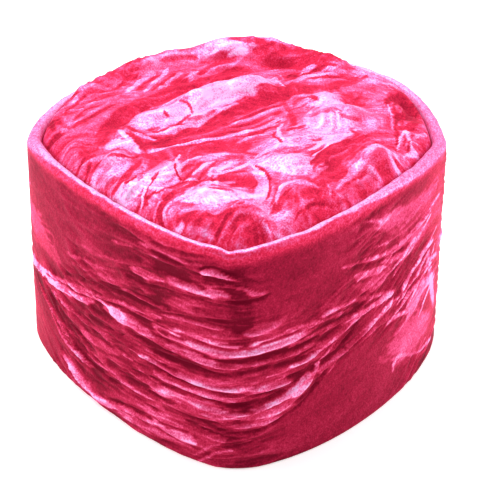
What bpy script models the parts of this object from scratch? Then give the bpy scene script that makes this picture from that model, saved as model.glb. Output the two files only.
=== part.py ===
"""A soft velvet cap that folds flat: a tall doubled band and a crumpled crown sewn just inside its rim.

Metres, +Z up. The cap stands on its hem at z = 0, centred on the origin, with its pointed front at -Y.
"""

import math
from collections import namedtuple

import bmesh
import bpy
import numpy as np

# Outer size of the band at its rim and at its hem.
RIM_HALF_WIDTH = 0.0867
RIM_RIGHT_WIDTH = 0.0873
RIM_HALF_LENGTH = 0.0997
HEM_HALF_WIDTH = 0.0900
HEM_HALF_LENGTH = 0.0997
BAND_HEIGHT = 0.0943

# The doubled velvet of the band, the roll that it makes where it turns over at the rim, and its folds.
BAND_WALL = 0.0030
ROLL_AT_TIPS = 0.0042
ROLL_AT_SIDES = 0.0060
ROLL_FADE = 0.0140
HEM_ROUND = 0.0005
FOLD_SWELL = 0.0040
DEEPEST_CREASE = 0.45

# The crown panel, its seam inside the band, and its edge turned down along the wall.
CROWN_CLOTH = 0.0018
CROWN_GAP = 0.0003
SEAM_DEPTH = 0.0080
SEAM_ALLOWANCE = 0.0080
CROWN_RISE = 0.0120
CROWN_PUFF = 0.0130

# How finely the cloth is faceted.
SEGMENTS = 72
TIP_CROWDING = 0.11
WALL_RINGS = 28
ROLL_RINGS = 5
FACING_RINGS = 2
CROWN_RINGS = 17
EDGE_RINGS = 2
CURVE_STEPS = 16

VELVET_CRIMSON = (0.42, 0.010, 0.055, 1.0)
VELVET_PINK = (0.62, 0.020, 0.110, 1.0)

# Outline of the band seen from above, one row for each level. A fullness of 2 is an ellipse and 1 a
# diamond, and corner is how softly the outline turns at its four tips.
Outline = namedtuple("Outline", "front_left front_right back_left back_right corner")
HEM_OUTLINE = Outline(1.36, 1.50, 1.90, 2.20, 0.04)
RIM_OUTLINE = Outline(1.27, 1.27, 1.80, 2.40, 0.05)

# Folds of the band: a smooth line through three points, each an angle in degrees (180 left, 270 front,
# 360 right, 450 back) and a share of the band's height. The half width is a share of the band's height,
# and the swell a share of FOLD_SWELL, positive for a crest and negative for a crease.
BandFold = namedtuple("BandFold", "name a0 h0 a1 h1 a2 h2 half_width swell")
BAND_FOLDS = [
    BandFold("long_crest", 186, 0.56, 222, 0.47, 270, 0.54, 0.042, 0.36),
    BandFold("long_crest_right", 264, 0.54, 286, 0.55, 306, 0.58, 0.040, 0.30),
    BandFold("long_crease", 220, 0.53, 246, 0.58, 274, 0.58, 0.030, -0.28),
    BandFold("second_crest", 238, 0.61, 262, 0.65, 291, 0.71, 0.034, 0.28),
    BandFold("leaf_crest", 238, 0.79, 252, 0.76, 276, 0.83, 0.034, 0.28),
    BandFold("brow_crease", 228, 0.87, 252, 0.85, 280, 0.90, 0.028, -0.26),
    BandFold("brow_crest", 236, 0.94, 256, 0.91, 284, 0.86, 0.026, 0.20),
    BandFold("mid_crease", 238, 0.45, 262, 0.47, 288, 0.50, 0.030, -0.30),
    BandFold("mid_crest", 210, 0.40, 250, 0.40, 286, 0.43, 0.036, 0.28),
    BandFold("low_crest", 200, 0.37, 232, 0.29, 268, 0.22, 0.040, 0.34),
    BandFold("tongue_crest", 248, 0.30, 276, 0.31, 291, 0.45, 0.045, 0.42),
    BandFold("tongue_crease", 260, 0.22, 281, 0.24, 292, 0.42, 0.030, -0.42),
    BandFold("left_diagonal", 184, 0.40, 204, 0.20, 228, 0.05, 0.038, 0.36),
    BandFold("hem_pillow", 208, 0.09, 222, 0.06, 250, 0.08, 0.045, 0.32),
    BandFold("low_ripple", 228, 0.17, 246, 0.14, 270, 0.13, 0.030, 0.26),
    BandFold("hem_ripple", 242, 0.05, 256, 0.04, 272, 0.07, 0.028, 0.24),
    BandFold("steep_crest", 289, 0.37, 309, 0.47, 336, 0.72, 0.036, 0.42),
    BandFold("steep_crease", 292, 0.44, 308, 0.54, 330, 0.72, 0.028, -0.34),
    BandFold("right_crest", 316, 0.69, 329, 0.83, 348, 0.87, 0.030, 0.32),
    BandFold("right_crease", 318, 0.64, 334, 0.77, 354, 0.80, 0.030, -0.30),
    BandFold("patch_crest", 299, 0.66, 312, 0.71, 324, 0.76, 0.032, 0.24),
    BandFold("right_pillow", 325, 0.30, 337, 0.42, 352, 0.64, 0.070, 0.38),
    BandFold("back_long_crest", 352, 0.55, 395, 0.48, 442, 0.55, 0.042, 0.34),
    BandFold("back_low_crest", 372, 0.28, 420, 0.23, 472, 0.33, 0.042, 0.34),
    BandFold("back_mid_crease", 398, 0.62, 445, 0.66, 488, 0.60, 0.032, -0.30),
    BandFold("back_high_crest", 380, 0.82, 430, 0.75, 478, 0.79, 0.036, 0.28),
    BandFold("back_diagonal", 452, 0.60, 490, 0.44, 532, 0.42, 0.040, 0.34),
    BandFold("back_low_crease", 436, 0.16, 480, 0.17, 522, 0.27, 0.032, -0.32),
    BandFold("back_left_crest", 482, 0.78, 512, 0.72, 546, 0.80, 0.034, 0.28),
    BandFold("back_hem_ripple", 470, 0.07, 500, 0.06, 530, 0.10, 0.034, 0.26),
]

# Folds of the crown: a line through three points, as shares of the rim's half width (x) and half length
# (y). The half width is a share of the rim's half width, and the lift a share of the crown's rise.
CrownFold = namedtuple("CrownFold", "name x0 y0 x1 y1 x2 y2 half_width lift")
CROWN_FOLDS = [
    CrownFold("back_roll", -0.66, 0.56, 0.04, 0.86, 0.68, 0.54, 0.17, 0.62),
    CrownFold("back_peak", -0.26, 0.77, 0.07, 0.84, 0.32, 0.76, 0.15, 0.42),
    CrownFold("back_right_roll", 0.28, 0.78, 0.44, 0.75, 0.60, 0.66, 0.10, 0.14),
    CrownFold("back_left_edge", -0.85, 0.24, -0.70, 0.47, -0.42, 0.70, 0.12, 0.40),
    CrownFold("left_ridge", -0.70, -0.10, -0.58, 0.10, -0.30, 0.38, 0.09, 0.20),
    CrownFold("back_valley", -0.56, -0.06, -0.42, 0.22, 0.02, 0.56, 0.10, -0.28),
    CrownFold("great_plateau", -0.50, 0.00, -0.16, 0.24, 0.22, 0.47, 0.14, 0.42),
    CrownFold("long_valley", -0.30, -0.08, 0.02, 0.13, 0.36, 0.41, 0.09, -0.28),
    CrownFold("right_back_fold", 0.62, 0.56, 0.72, 0.48, 0.82, 0.38, 0.10, 0.24),
    CrownFold("right_plateau", 0.34, -0.06, 0.50, 0.06, 0.66, 0.10, 0.13, 0.38),
    CrownFold("middle_plateau", 0.10, -0.34, 0.23, -0.36, 0.36, -0.34, 0.12, 0.30),
    CrownFold("s_valley", 0.60, -0.11, 0.44, -0.30, 0.40, -0.52, 0.09, -0.24),
    CrownFold("tongue_valley", 0.40, -0.54, 0.28, -0.58, 0.20, -0.80, 0.08, -0.20),
    CrownFold("right_puff", 0.52, -0.44, 0.62, -0.32, 0.72, -0.36, 0.12, 0.34),
    CrownFold("right_front_roll", 0.30, -0.70, 0.44, -0.60, 0.60, -0.50, 0.10, 0.12),
    CrownFold("front_puff", -0.04, -0.88, 0.04, -0.76, 0.12, -0.88, 0.10, 0.26),
    CrownFold("front_plateau", -0.22, -0.66, -0.06, -0.655, 0.12, -0.69, 0.10, 0.24),
    CrownFold("front_left_dome", -0.20, -0.76, -0.14, -0.80, -0.08, -0.88, 0.10, 0.16),
    CrownFold("ring_crease", 0.09, -0.38, 0.165, -0.48, 0.12, -0.65, 0.08, -0.18),
    CrownFold("swirl_crease", -0.02, -0.30, -0.20, -0.48, -0.38, -0.68, 0.08, -0.20),
    CrownFold("left_puff", -0.58, -0.44, -0.53, -0.38, -0.49, -0.32, 0.10, 0.24),
    CrownFold("second_left_puff", -0.50, -0.60, -0.46, -0.56, -0.43, -0.50, 0.09, 0.20),
    CrownFold("third_left_puff", -0.33, -0.56, -0.30, -0.48, -0.27, -0.38, 0.09, 0.22),
    CrownFold("left_valley", -0.42, -0.28, -0.46, -0.42, -0.54, -0.56, 0.08, -0.22),
    CrownFold("wedge", -0.56, -0.15, -0.50, -0.20, -0.44, -0.22, 0.09, 0.16),
    CrownFold("right_pocket", 0.80, 0.36, 0.86, 0.26, 0.86, 0.10, 0.10, -0.40),
    CrownFold("right_gather", 0.80, -0.02, 0.80, -0.12, 0.78, -0.24, 0.08, 0.24),
]


def clear_scene():
    """Removes the objects that the file opened with."""
    for obj in list(bpy.data.objects):
        bpy.data.objects.remove(obj, do_unlink=True)


def smooth_step(t):
    """0 to 1 with level ends."""
    t = np.clip(t, 0.0, 1.0)
    return t * t * (3.0 - 2.0 * t)


def soft_size(value, corner):
    """The size of value from 0 to 1, rounded off where it passes zero so that a tip isn't a knife edge."""
    return (np.hypot(value, corner) - corner) / (math.hypot(1.0, corner) - corner)


def outline_reach(angle, half_width, half_length, outline):
    """How far the outline lies from the centre in each direction, for angles in radians."""
    across, along = np.cos(angle), np.sin(angle)
    front = np.where(across < 0, outline.front_left, outline.front_right)
    back = np.where(across < 0, outline.back_left, outline.back_right)
    fullness = np.where(along < 0, front, back)
    wide = soft_size(across, outline.corner) / half_width
    long = soft_size(along, outline.corner) / half_length
    return (wide**fullness + long**fullness) ** (-1.0 / fullness)


def band_outline(angle, height):
    """Points (x, y) of the band's outer face at each angle and height, before its folds."""
    share = np.clip(height / BAND_HEIGHT, 0.0, 1.0)
    hem = outline_reach(angle, HEM_HALF_WIDTH, HEM_HALF_LENGTH, HEM_OUTLINE)
    rim_width = np.where(np.cos(angle) < 0, RIM_HALF_WIDTH, RIM_RIGHT_WIDTH)
    rim = outline_reach(angle, rim_width, RIM_HALF_LENGTH, RIM_OUTLINE)
    reach = hem + (rim - hem) * share
    return np.stack([reach * np.cos(angle), reach * np.sin(angle)], axis=-1)


def inward(ring):
    """Unit vectors that point into the cap, square to a closed ring of (x, y) points."""
    along = np.roll(ring, -1, axis=0) - np.roll(ring, 1, axis=0)
    normal = np.stack([-along[:, 1], along[:, 0]], axis=-1)
    return normal / np.linalg.norm(normal, axis=1)[:, None]


def fold_line(start, middle, end):
    """Points along the smooth line through three points."""
    start, middle, end = (np.array(p, float) for p in (start, middle, end))
    pull = 2.0 * middle - (start + end) / 2.0
    t = np.linspace(0.0, 1.0, CURVE_STEPS + 1)[:, None]
    return (1 - t) ** 2 * start + 2 * t * (1 - t) * pull + t**2 * end


def fold_shape(points, line, half_width):
    """The height, from 0 to 1, of a fold along a line: rounded across, and fading out at both ends."""
    best = np.full(len(points), np.inf)
    along = np.zeros(len(points))
    for step in range(CURVE_STEPS):
        a, b = line[step], line[step + 1]
        run = b - a
        t = np.clip((points - a) @ run / max(run @ run, 1e-12), 0.0, 1.0)
        aside = np.linalg.norm(points - a - t[:, None] * run, axis=1)
        nearer = aside < best
        best = np.where(nearer, aside, best)
        along = np.where(nearer, (step + t) / CURVE_STEPS, along)
    across = np.clip(best / half_width, 0.0, 1.0)
    length = np.linalg.norm(np.diff(line, axis=0), axis=1).sum()
    rate = min(max(length / (1.6 * half_width), 2.2), 5.0)
    taper = smooth_step(np.minimum(along, 1.0 - along) * rate + 0.10)
    return (1.0 - across**2) ** 2 * taper


def band_relief(angle, height):
    """How far the band's folds stand out from its wall, for angles in radians and heights in metres."""
    girth_radius = (HEM_HALF_WIDTH + HEM_HALF_LENGTH) / 2.0
    degrees = np.degrees(angle)
    total = np.zeros(len(degrees))
    for fold in BAND_FOLDS:
        turned = fold.a1 + (degrees - fold.a1 + 180.0) % 360.0 - 180.0
        points = np.stack([np.radians(turned) * girth_radius, height], axis=-1)
        ends = [(fold.a0, fold.h0), (fold.a1, fold.h1), (fold.a2, fold.h2)]
        line = fold_line(*[(math.radians(a) * girth_radius, h * BAND_HEIGHT) for a, h in ends])
        total += fold.swell * FOLD_SWELL * fold_shape(points, line, fold.half_width * BAND_HEIGHT)
    return np.maximum(total, -DEEPEST_CREASE * BAND_WALL)


def roll_width(angle):
    """The rim's roll is widest at the sides, where the flat fold opens out."""
    return ROLL_AT_TIPS + (ROLL_AT_SIDES - ROLL_AT_TIPS) * np.cos(angle) ** 4


def wall_inset(angle, height):
    """How far the band's inner face lies inside its outer one."""
    top = BAND_HEIGHT - roll_width(angle) / 2.0
    swell = smooth_step(1.0 - (top - height) / ROLL_FADE)
    return BAND_WALL + (roll_width(angle) - BAND_WALL) * swell


def band_ring(angle, height, inset, folded):
    """One ring of the band: its points lie inset from the outer face, which may carry the folds."""
    flat = band_outline(angle, height)
    if folded:
        inset = inset - band_relief(angle, height)
    return np.column_stack([flat + inward(flat) * inset[:, None], height])


def ring_angles():
    """The directions of a ring's points, closer together at the four tips of the outline."""
    turn = np.linspace(0.0, 2.0 * math.pi, SEGMENTS, endpoint=False)
    return turn - TIP_CROWDING * np.sin(4.0 * turn)


def seam_heights():
    """The levels that the crown's turned-down edge and the band's facing share."""
    seam = BAND_HEIGHT - SEAM_DEPTH
    return [seam - SEAM_ALLOWANCE * k / EDGE_RINGS for k in range(EDGE_RINGS + 1)]


def band_rings():
    """The band's closed section, ring by ring: up the outer face, over the roll and down the facing."""
    angle = ring_angles()
    none = np.zeros(SEGMENTS)
    roll = roll_width(angle) / 2.0
    top = BAND_HEIGHT - roll
    rings = [band_ring(angle, none, none + HEM_ROUND, False)]
    for k in range(WALL_RINGS + 1):
        height = HEM_ROUND + (top - HEM_ROUND) * k / WALL_RINGS
        rings.append(band_ring(angle, height, none, 0 < k < WALL_RINGS))
    for k in range(1, ROLL_RINGS + 1):
        turn = math.pi * k / (ROLL_RINGS + 1)
        height = top + roll * math.sin(turn)
        rings.append(band_ring(angle, height, roll * (1.0 - math.cos(turn)), False))
    for k in range(FACING_RINGS):
        height = top + (seam_heights()[0] - top) * k / FACING_RINGS
        rings.append(band_ring(angle, height, wall_inset(angle, height), False))
    for level in seam_heights() + [BAND_HEIGHT / 2.0, HEM_ROUND]:
        height = none + level
        rings.append(band_ring(angle, height, wall_inset(angle, height), False))
    rings.append(band_ring(angle, none, none + BAND_WALL - HEM_ROUND, False))
    return rings


def crown_edge(angle, level):
    """The ring of the crown that lies against the band's facing at one level."""
    height = np.full(len(angle), level)
    return band_ring(angle, height, wall_inset(angle, height) + CROWN_GAP, False)


def crown_relief(points):
    """Height of the crown's folds at (x, y) points."""
    total = np.zeros(len(points))
    size = np.array([RIM_HALF_WIDTH, RIM_HALF_LENGTH])
    for fold in CROWN_FOLDS:
        ends = [(fold.x0, fold.y0), (fold.x1, fold.y1), (fold.x2, fold.y2)]
        line = fold_line(*[np.array(p) * size for p in ends])
        total += fold.lift * CROWN_RISE * fold_shape(points, line, fold.half_width * RIM_HALF_WIDTH)
    return total


def crown_height(points, share):
    """Height of the crown where share runs from 0 at its centre to 1 at its seam."""
    puff = (1.0 - share**6) ** 0.5
    free = smooth_step((1.0 - share) * 9.0)
    return BAND_HEIGHT - SEAM_DEPTH + CROWN_PUFF * puff + crown_relief(points) * free


def crown_rings():
    """The crown's outer face, from the ring next to its centre to the lower edge of its seam allowance."""
    angle = ring_angles()
    seam = crown_edge(angle, seam_heights()[0])[:, :2]
    rings = []
    for k in range(1, CROWN_RINGS):
        share = (k / CROWN_RINGS) ** 0.8
        flat = seam * share
        rings.append(np.column_stack([flat, crown_height(flat, share)]))
    return rings + [crown_edge(angle, level) for level in seam_heights()]


def skin(bm, rings, closed):
    """Joins neighbouring rings with faces, and the last to the first where the section is closed."""
    loops = [[bm.verts.new(point) for point in ring] for ring in rings]
    pairs = list(zip(loops, loops[1:]))
    if closed:
        pairs.append((loops[-1], loops[0]))
    for lower, upper in pairs:
        for i in range(SEGMENTS):
            j = (i + 1) % SEGMENTS
            bm.faces.new((lower[i], lower[j], upper[j], upper[i]))
    return loops


def velvet(name, colour):
    """Velvet as a plain soft finish."""
    material = bpy.data.materials.new(name)
    material.use_nodes = True
    shader = material.node_tree.nodes["Principled BSDF"]
    shader.inputs["Base Color"].default_value = colour
    shader.inputs["Roughness"].default_value = 0.55
    shader.inputs["Metallic"].default_value = 0.0
    shader.inputs["Sheen Weight"].default_value = 0.8
    material.diffuse_color = colour
    return material


def finish_piece(bm, name, material):
    """Makes a named object of the faces, shaded smooth."""
    mesh = bpy.data.meshes.new(name)
    bm.to_mesh(mesh)
    bm.free()
    mesh.materials.append(material)
    mesh.shade_smooth()
    obj = bpy.data.objects.new(name, mesh)
    bpy.context.scene.collection.objects.link(obj)
    return obj


def make_band():
    """The doubled strip: outer face with its folds, rolled rim, plain facing and a flat hem to stand on."""
    bm = bmesh.new()
    skin(bm, band_rings(), closed=True)
    bmesh.ops.recalc_face_normals(bm, faces=bm.faces)
    return finish_piece(bm, "band", velvet("velvet_band", VELVET_CRIMSON))


def make_crown():
    """The crumpled top panel, one sheet whose edge turns down inside the band."""
    bm = bmesh.new()
    loops = skin(bm, crown_rings(), closed=False)
    centre_point = np.zeros((1, 2))
    centre = bm.verts.new((0.0, 0.0, float(crown_height(centre_point, np.zeros(1))[0])))
    for i in range(SEGMENTS):
        bm.faces.new((centre, loops[0][i], loops[0][(i + 1) % SEGMENTS]))
    bmesh.ops.recalc_face_normals(bm, faces=bm.faces)
    crown = finish_piece(bm, "crown", velvet("velvet_crown", VELVET_PINK))
    wall = crown.modifiers.new("cloth", "SOLIDIFY")
    wall.thickness = CROWN_CLOTH
    wall.offset = -1.0
    return crown


clear_scene()
make_band()
make_crown()
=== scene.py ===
# %% [markdown]
# # A foldable cap in crushed velvet
#
# The cap is two pieces of cloth. A long strip, doubled over along its top edge, makes the tall band with
# its soft rolled rim and its pointed front. A second panel, larger than the opening, makes the puffed and
# crumpled crown, and is sewn to the band a little below the rim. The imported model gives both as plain
# solids with the main folds. This lesson replaces each by a fine mesh with every fold, then dresses it in
# velvet.
#
# The frame comes first, because everything here is made in its place and in metres.

import math
from collections import namedtuple

import bpy
import numpy as np
from mathutils import Matrix, Vector


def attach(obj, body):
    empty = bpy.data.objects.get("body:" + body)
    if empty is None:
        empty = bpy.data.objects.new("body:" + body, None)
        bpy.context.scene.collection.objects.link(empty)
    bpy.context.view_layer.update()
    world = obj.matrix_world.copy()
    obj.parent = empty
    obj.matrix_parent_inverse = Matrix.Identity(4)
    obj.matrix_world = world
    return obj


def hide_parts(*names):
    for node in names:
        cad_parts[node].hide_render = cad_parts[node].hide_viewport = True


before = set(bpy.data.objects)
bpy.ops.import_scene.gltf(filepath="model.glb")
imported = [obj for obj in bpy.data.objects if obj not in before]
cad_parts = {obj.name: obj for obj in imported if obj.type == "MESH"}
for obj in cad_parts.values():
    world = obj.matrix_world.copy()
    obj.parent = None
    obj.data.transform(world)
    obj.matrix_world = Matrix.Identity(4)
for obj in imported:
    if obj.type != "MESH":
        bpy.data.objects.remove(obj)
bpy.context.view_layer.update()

# %% [markdown]
# ## The photographer's place
#
# The camera could be placed by eye, but a cap with a pointed front shows at once when the angle is off. So
# its place is worked out from a few plain facts about the picture: how high the camera stands over the
# cap, how far it is turned aside and tilted, how far away it is, how long its lens is, and which point it
# looks at.

# %% Place the camera
CAMERA_HEIGHT_ANGLE = 29.45
CAMERA_TURN = -0.15
CAMERA_ROLL = 0.39
CAMERA_DISTANCE = 0.4998
CAMERA_LENS_MM = 82.0
CAMERA_TARGET = Vector((0.0017, 0.0, 0.0392))
FILM_WIDTH_MM = 36.0


def add_object(name, data):
    """A new object in the scene that shows the data."""
    obj = bpy.data.objects.new(name, data)
    bpy.context.scene.collection.objects.link(obj)
    return obj


def place_camera():
    """A camera that looks at the target from the front, a little from above."""
    rise, turn = math.radians(CAMERA_HEIGHT_ANGLE), math.radians(CAMERA_TURN)
    towards = Vector((math.sin(turn) * math.cos(rise), -math.cos(turn) * math.cos(rise), math.sin(rise)))
    right = Vector((math.cos(turn), math.sin(turn), 0.0))
    place = Matrix((right, towards.cross(right), towards)).transposed().to_4x4()
    place = place @ Matrix.Rotation(math.radians(CAMERA_ROLL), 4, "Z")
    place.translation = CAMERA_TARGET + towards * CAMERA_DISTANCE
    camera = add_object("camera", bpy.data.cameras.new("camera"))
    camera.data.sensor_width = FILM_WIDTH_MM
    camera.data.lens = CAMERA_LENS_MM
    camera.data.clip_start = 0.01
    camera.matrix_world = place
    bpy.context.scene.camera = camera
    return camera


camera = place_camera()
print("camera at", [round(v, 3) for v in camera.matrix_world.translation])

# %% [markdown]
# ## The pattern of the cap
#
# Both pieces follow one outline, so it is worked out once. Seen from above it is a rounded diamond in
# front and nearly an ellipse behind. Each quarter has its own fullness, where 2 is an ellipse and 1 a
# diamond, and the tips are softened, because doubled velvet doesn't crease to a knife edge.

# %% Sizes and outline
RIM_HALF_WIDTH = 0.0867
RIM_RIGHT_WIDTH = 0.0873
RIM_HALF_LENGTH = 0.0997
HEM_HALF_WIDTH = 0.0900
HEM_HALF_LENGTH = 0.0997
BAND_HEIGHT = 0.0943
BAND_WALL = 0.0030
ROLL_AT_TIPS = 0.0042
ROLL_AT_SIDES = 0.0060
ROLL_FADE = 0.0140
HEM_ROUND = 0.0005
SEAM_DEPTH = 0.0080
SEAM_ALLOWANCE = 0.0080
CROWN_CLOTH = 0.0012
CROWN_GAP = 0.0006
CROWN_PUFF = 0.0130

Outline = namedtuple("Outline", "front_left front_right back_left back_right corner")
HEM_OUTLINE = Outline(1.36, 1.50, 1.90, 2.20, 0.04)
RIM_OUTLINE = Outline(1.27, 1.27, 1.80, 2.40, 0.05)


def smooth_step(t):
    """0 to 1 with level ends."""
    t = np.clip(t, 0.0, 1.0)
    return t * t * (3.0 - 2.0 * t)


def soft_size(value, corner):
    """The size of value from 0 to 1, rounded off where it passes zero."""
    return (np.hypot(value, corner) - corner) / (math.hypot(1.0, corner) - corner)


def outline_reach(angle, half_width, half_length, outline):
    """How far the outline lies from the centre in each direction, for angles in radians."""
    across, along = np.cos(angle), np.sin(angle)
    front = np.where(across < 0, outline.front_left, outline.front_right)
    back = np.where(across < 0, outline.back_left, outline.back_right)
    fullness = np.where(along < 0, front, back)
    wide = soft_size(across, outline.corner) / half_width
    long = soft_size(along, outline.corner) / half_length
    return (wide**fullness + long**fullness) ** (-1.0 / fullness)


def band_outline(angle, height):
    """Points (x, y) of the band's outer face at each angle and height, before its folds."""
    share = np.clip(height / BAND_HEIGHT, 0.0, 1.0)
    hem = outline_reach(angle, HEM_HALF_WIDTH, HEM_HALF_LENGTH, HEM_OUTLINE)
    rim_width = np.where(np.cos(angle) < 0, RIM_HALF_WIDTH, RIM_RIGHT_WIDTH)
    rim = outline_reach(angle, rim_width, RIM_HALF_LENGTH, RIM_OUTLINE)
    reach = hem + (rim - hem) * share
    return np.stack([reach * np.cos(angle), reach * np.sin(angle)], axis=-1)


def inward(angle, height):
    """Unit vectors that point into the cap, square to its outline."""
    step = 0.01
    along = band_outline(angle + step, height) - band_outline(angle - step, height)
    normal = np.stack([-along[..., 1], along[..., 0]], axis=-1)
    return normal / np.linalg.norm(normal, axis=-1)[..., None]


def roll_width(angle):
    """The rim's roll is widest at the sides, where the flat fold opens out."""
    return ROLL_AT_TIPS + (ROLL_AT_SIDES - ROLL_AT_TIPS) * np.cos(angle) ** 4


def wall_inset(angle, height):
    """How far the band's inner face lies inside its outer one."""
    top = BAND_HEIGHT - roll_width(angle) / 2.0
    swell = smooth_step(1.0 - (top - height) / ROLL_FADE)
    return BAND_WALL + (roll_width(angle) - BAND_WALL) * swell


turn = np.radians(np.arange(360.0))
girth = band_outline(turn, np.zeros(360))
print("hem, once round: %.3f m" % np.linalg.norm(np.roll(girth, -1, axis=0) - girth, axis=1).sum())

# %% [markdown]
# ## Cloth that has been crushed
#
# Folded velvet carries two kinds of fold. The long ones have a place that can be pointed at, so they are
# charted, one row each, as smooth lines with a width. Between them the pile is crumpled at random,
# which a noise does better than any hand. The noise here is gradient noise on a grid of slopes. Every call
# names its own seed, so that no two layers are alike and each run makes the same cap.

# %% Noise for crumples
NOISE_GRID = 64
NOISE_GAIN = 1.5
RIDGE_GAIN = 2.2


def crumple(points, seed, around=NOISE_GRID):
    """Gradient noise from about -1 to 1, one bump for each unit, repeating every so many units around."""
    slopes = np.random.default_rng(seed).random((NOISE_GRID, NOISE_GRID)) * 2.0 * math.pi
    cell = np.floor(points).astype(int)
    part = points - cell
    ease = part**3 * (part * (part * 6.0 - 15.0) + 10.0)
    total = np.zeros(len(points))
    for right in (0, 1):
        for up in (0, 1):
            turn = slopes[(cell[:, 0] + right) % around % NOISE_GRID, (cell[:, 1] + up) % NOISE_GRID]
            rise = (part[:, 0] - right) * np.cos(turn) + (part[:, 1] - up) * np.sin(turn)
            share_x = ease[:, 0] if right else 1.0 - ease[:, 0]
            share_y = ease[:, 1] if up else 1.0 - ease[:, 1]
            total += rise * share_x * share_y
    return total * NOISE_GAIN


def ridges(points, seed, around=NOISE_GRID):
    """The same noise folded into sharp ridges, from 0 between them to 1 on their crests."""
    return 1.0 - np.minimum(np.abs(crumple(points, seed, around)) * RIDGE_GAIN, 1.0)


sample = np.random.default_rng(1).random((4000, 2)) * 40.0
print("crumple spans %.2f to %.2f" % (crumple(sample, 3).min(), crumple(sample, 3).max()))

# %% [markdown]
# A charted fold is a smooth curve through three points with a half width. Its cross section is a bell,
# which stands up for a crest and goes down for a crease, or has no height where only the pile is brushed.
# It may lean, so that one side drops steeply and the other runs out gently, as a fold that has been
# pressed over does. Each row also says how the pile lies there: 1 is pile brushed towards the light, which
# looks lilac, and 0 is pile brushed away, which looks deep crimson. This lie is partly the real pile's
# patches and partly painted light: crests mostly get a high lie, a painted highlight, and creases a low
# one, a painted shade. The pile doesn't change over along a clean line, so the edge of each brushed patch
# is frayed along its length.
#
# A chart is a plain text. A line of words names the group of folds below it, and every other line is one
# fold: its start, its middle and its end, two numbers each, then its half width, its rise and the lie of
# its pile with its painted light. A tenth number is its lean, which most folds don't have. Later folds are
# brushed over earlier ones, so each chart goes from the broad to the fine.

# %% Folds along charted lines
CURVE_STEPS = 14
FRAY_LENGTH = 0.0090
FRAY_WIDTH = 0.0022
FRAY = 0.38
FRAY_SHIFT = 900.0
PATCH_REACH = 1.14

Fold = namedtuple("Fold", "x0 y0 x1 y1 x2 y2 half_width rise lie lean", defaults=(0.0,))


def read_chart(chart):
    """The folds of a chart, in their order, without the lines that name the groups."""
    rows = [line.split() for line in chart.strip().splitlines()]
    return [Fold(*[float(word) for word in row]) for row in rows if not row[0][0].isalpha()]


def ends_of(fold):
    """The three charted places of a fold."""
    return [(fold.x0, fold.y0), (fold.x1, fold.y1), (fold.x2, fold.y2)]


def fold_line(start, middle, end):
    """Points along the smooth curve that goes through three points."""
    start, middle, end = (np.array(p, float) for p in (start, middle, end))
    pull = 2.0 * middle - (start + end) / 2.0
    t = np.linspace(0.0, 1.0, CURVE_STEPS + 1)[:, None]
    return (1 - t) ** 2 * start + 2 * t * (1 - t) * pull + t**2 * end


def along_fold(points, line, half_width, lean):
    """For each point, its signed distance from the line in half widths, and its share of the length."""
    best = np.full(len(points), np.inf)
    side = np.zeros(len(points))
    along = np.zeros(len(points))
    for step in range(CURVE_STEPS):
        a, b = line[step], line[step + 1]
        run = b - a
        t = np.clip((points - a) @ run / max(run @ run, 1e-12), 0.0, 1.0)
        away = points - a - t[:, None] * run
        aside = np.hypot(away[:, 0], away[:, 1])
        nearer = aside < best
        best = np.where(nearer, aside, best)
        side = np.where(nearer, np.sign(run[0] * away[:, 1] - run[1] * away[:, 0]), side)
        along = np.where(nearer, (step + t) / CURVE_STEPS, along)
    return side * best / (half_width * (1.0 + lean * side)), along


def apply_fold(points, line, half_width, lean, rise):
    """The points that a fold reaches, its relief there in metres and its mask for the pile's lie."""
    low = line.min(axis=0) - 2.0 * half_width
    high = line.max(axis=0) + 2.0 * half_width
    near = np.flatnonzero(((points > low) & (points < high)).all(axis=1))
    aside, along = along_fold(points[near], line, half_width, lean)
    across = np.abs(aside)
    length = np.linalg.norm(np.diff(line, axis=0), axis=1).sum()
    rate = min(max(length / (1.6 * half_width), 2.2), 5.0)
    taper = smooth_step(np.minimum(along, 1.0 - along) * rate + 0.10)
    bell = np.clip(1.0 - across**2, 0.0, 1.0) ** 2 * taper
    threads = np.column_stack([along * length / FRAY_LENGTH, aside * half_width / FRAY_WIDTH])
    threads = threads + line[0] * FRAY_SHIFT
    fray = FRAY * (crumple(threads, 91) + 0.6 * crumple(threads * 2.3, 92))
    tip = min(2.6 * half_width + 0.0015, 0.5 * length)
    beyond = np.clip(1.0 - np.minimum(along, 1.0 - along) * length / tip, 0.0, 1.0)
    sharp = 1.8 + 1.2 * math.exp(-half_width / 0.005)
    patch = smooth_step((PATCH_REACH - np.hypot(across, beyond) + fray) * sharp)
    return near, rise * bell, patch * smooth_step(3.0 - 1.7 * across)


def press_fold(fold, cloth, points, line, half_width, rise, cover):
    """Adds one fold to the cloth's relief, and brushes its pile over what was there before."""
    relief, lie = cloth
    near, lift, mask = apply_fold(points, line, half_width, fold.lean, rise)
    relief[near] += lift
    lie[near] += (fold.lie - lie[near]) * mask * cover


line = fold_line((0, 0), (1, 0.2), (2, 0))
print("a test fold is %.2f long" % np.linalg.norm(np.diff(line, axis=0), axis=1).sum())

# %% [markdown]
# ## The folds of the band
#
# The strip was pulled round the point at the front, so its folds hang like a loose curtain: they slope
# down from the left, run level across the front and climb to the right. Angles go round the cap, with 180
# at its left side, 270 at the front point, 360 at its right side and 450 at the back. So a place is an
# angle and a share of the band's height. The half width is a share of that height too, and the rise one of
# FOLD_SWELL.

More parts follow.
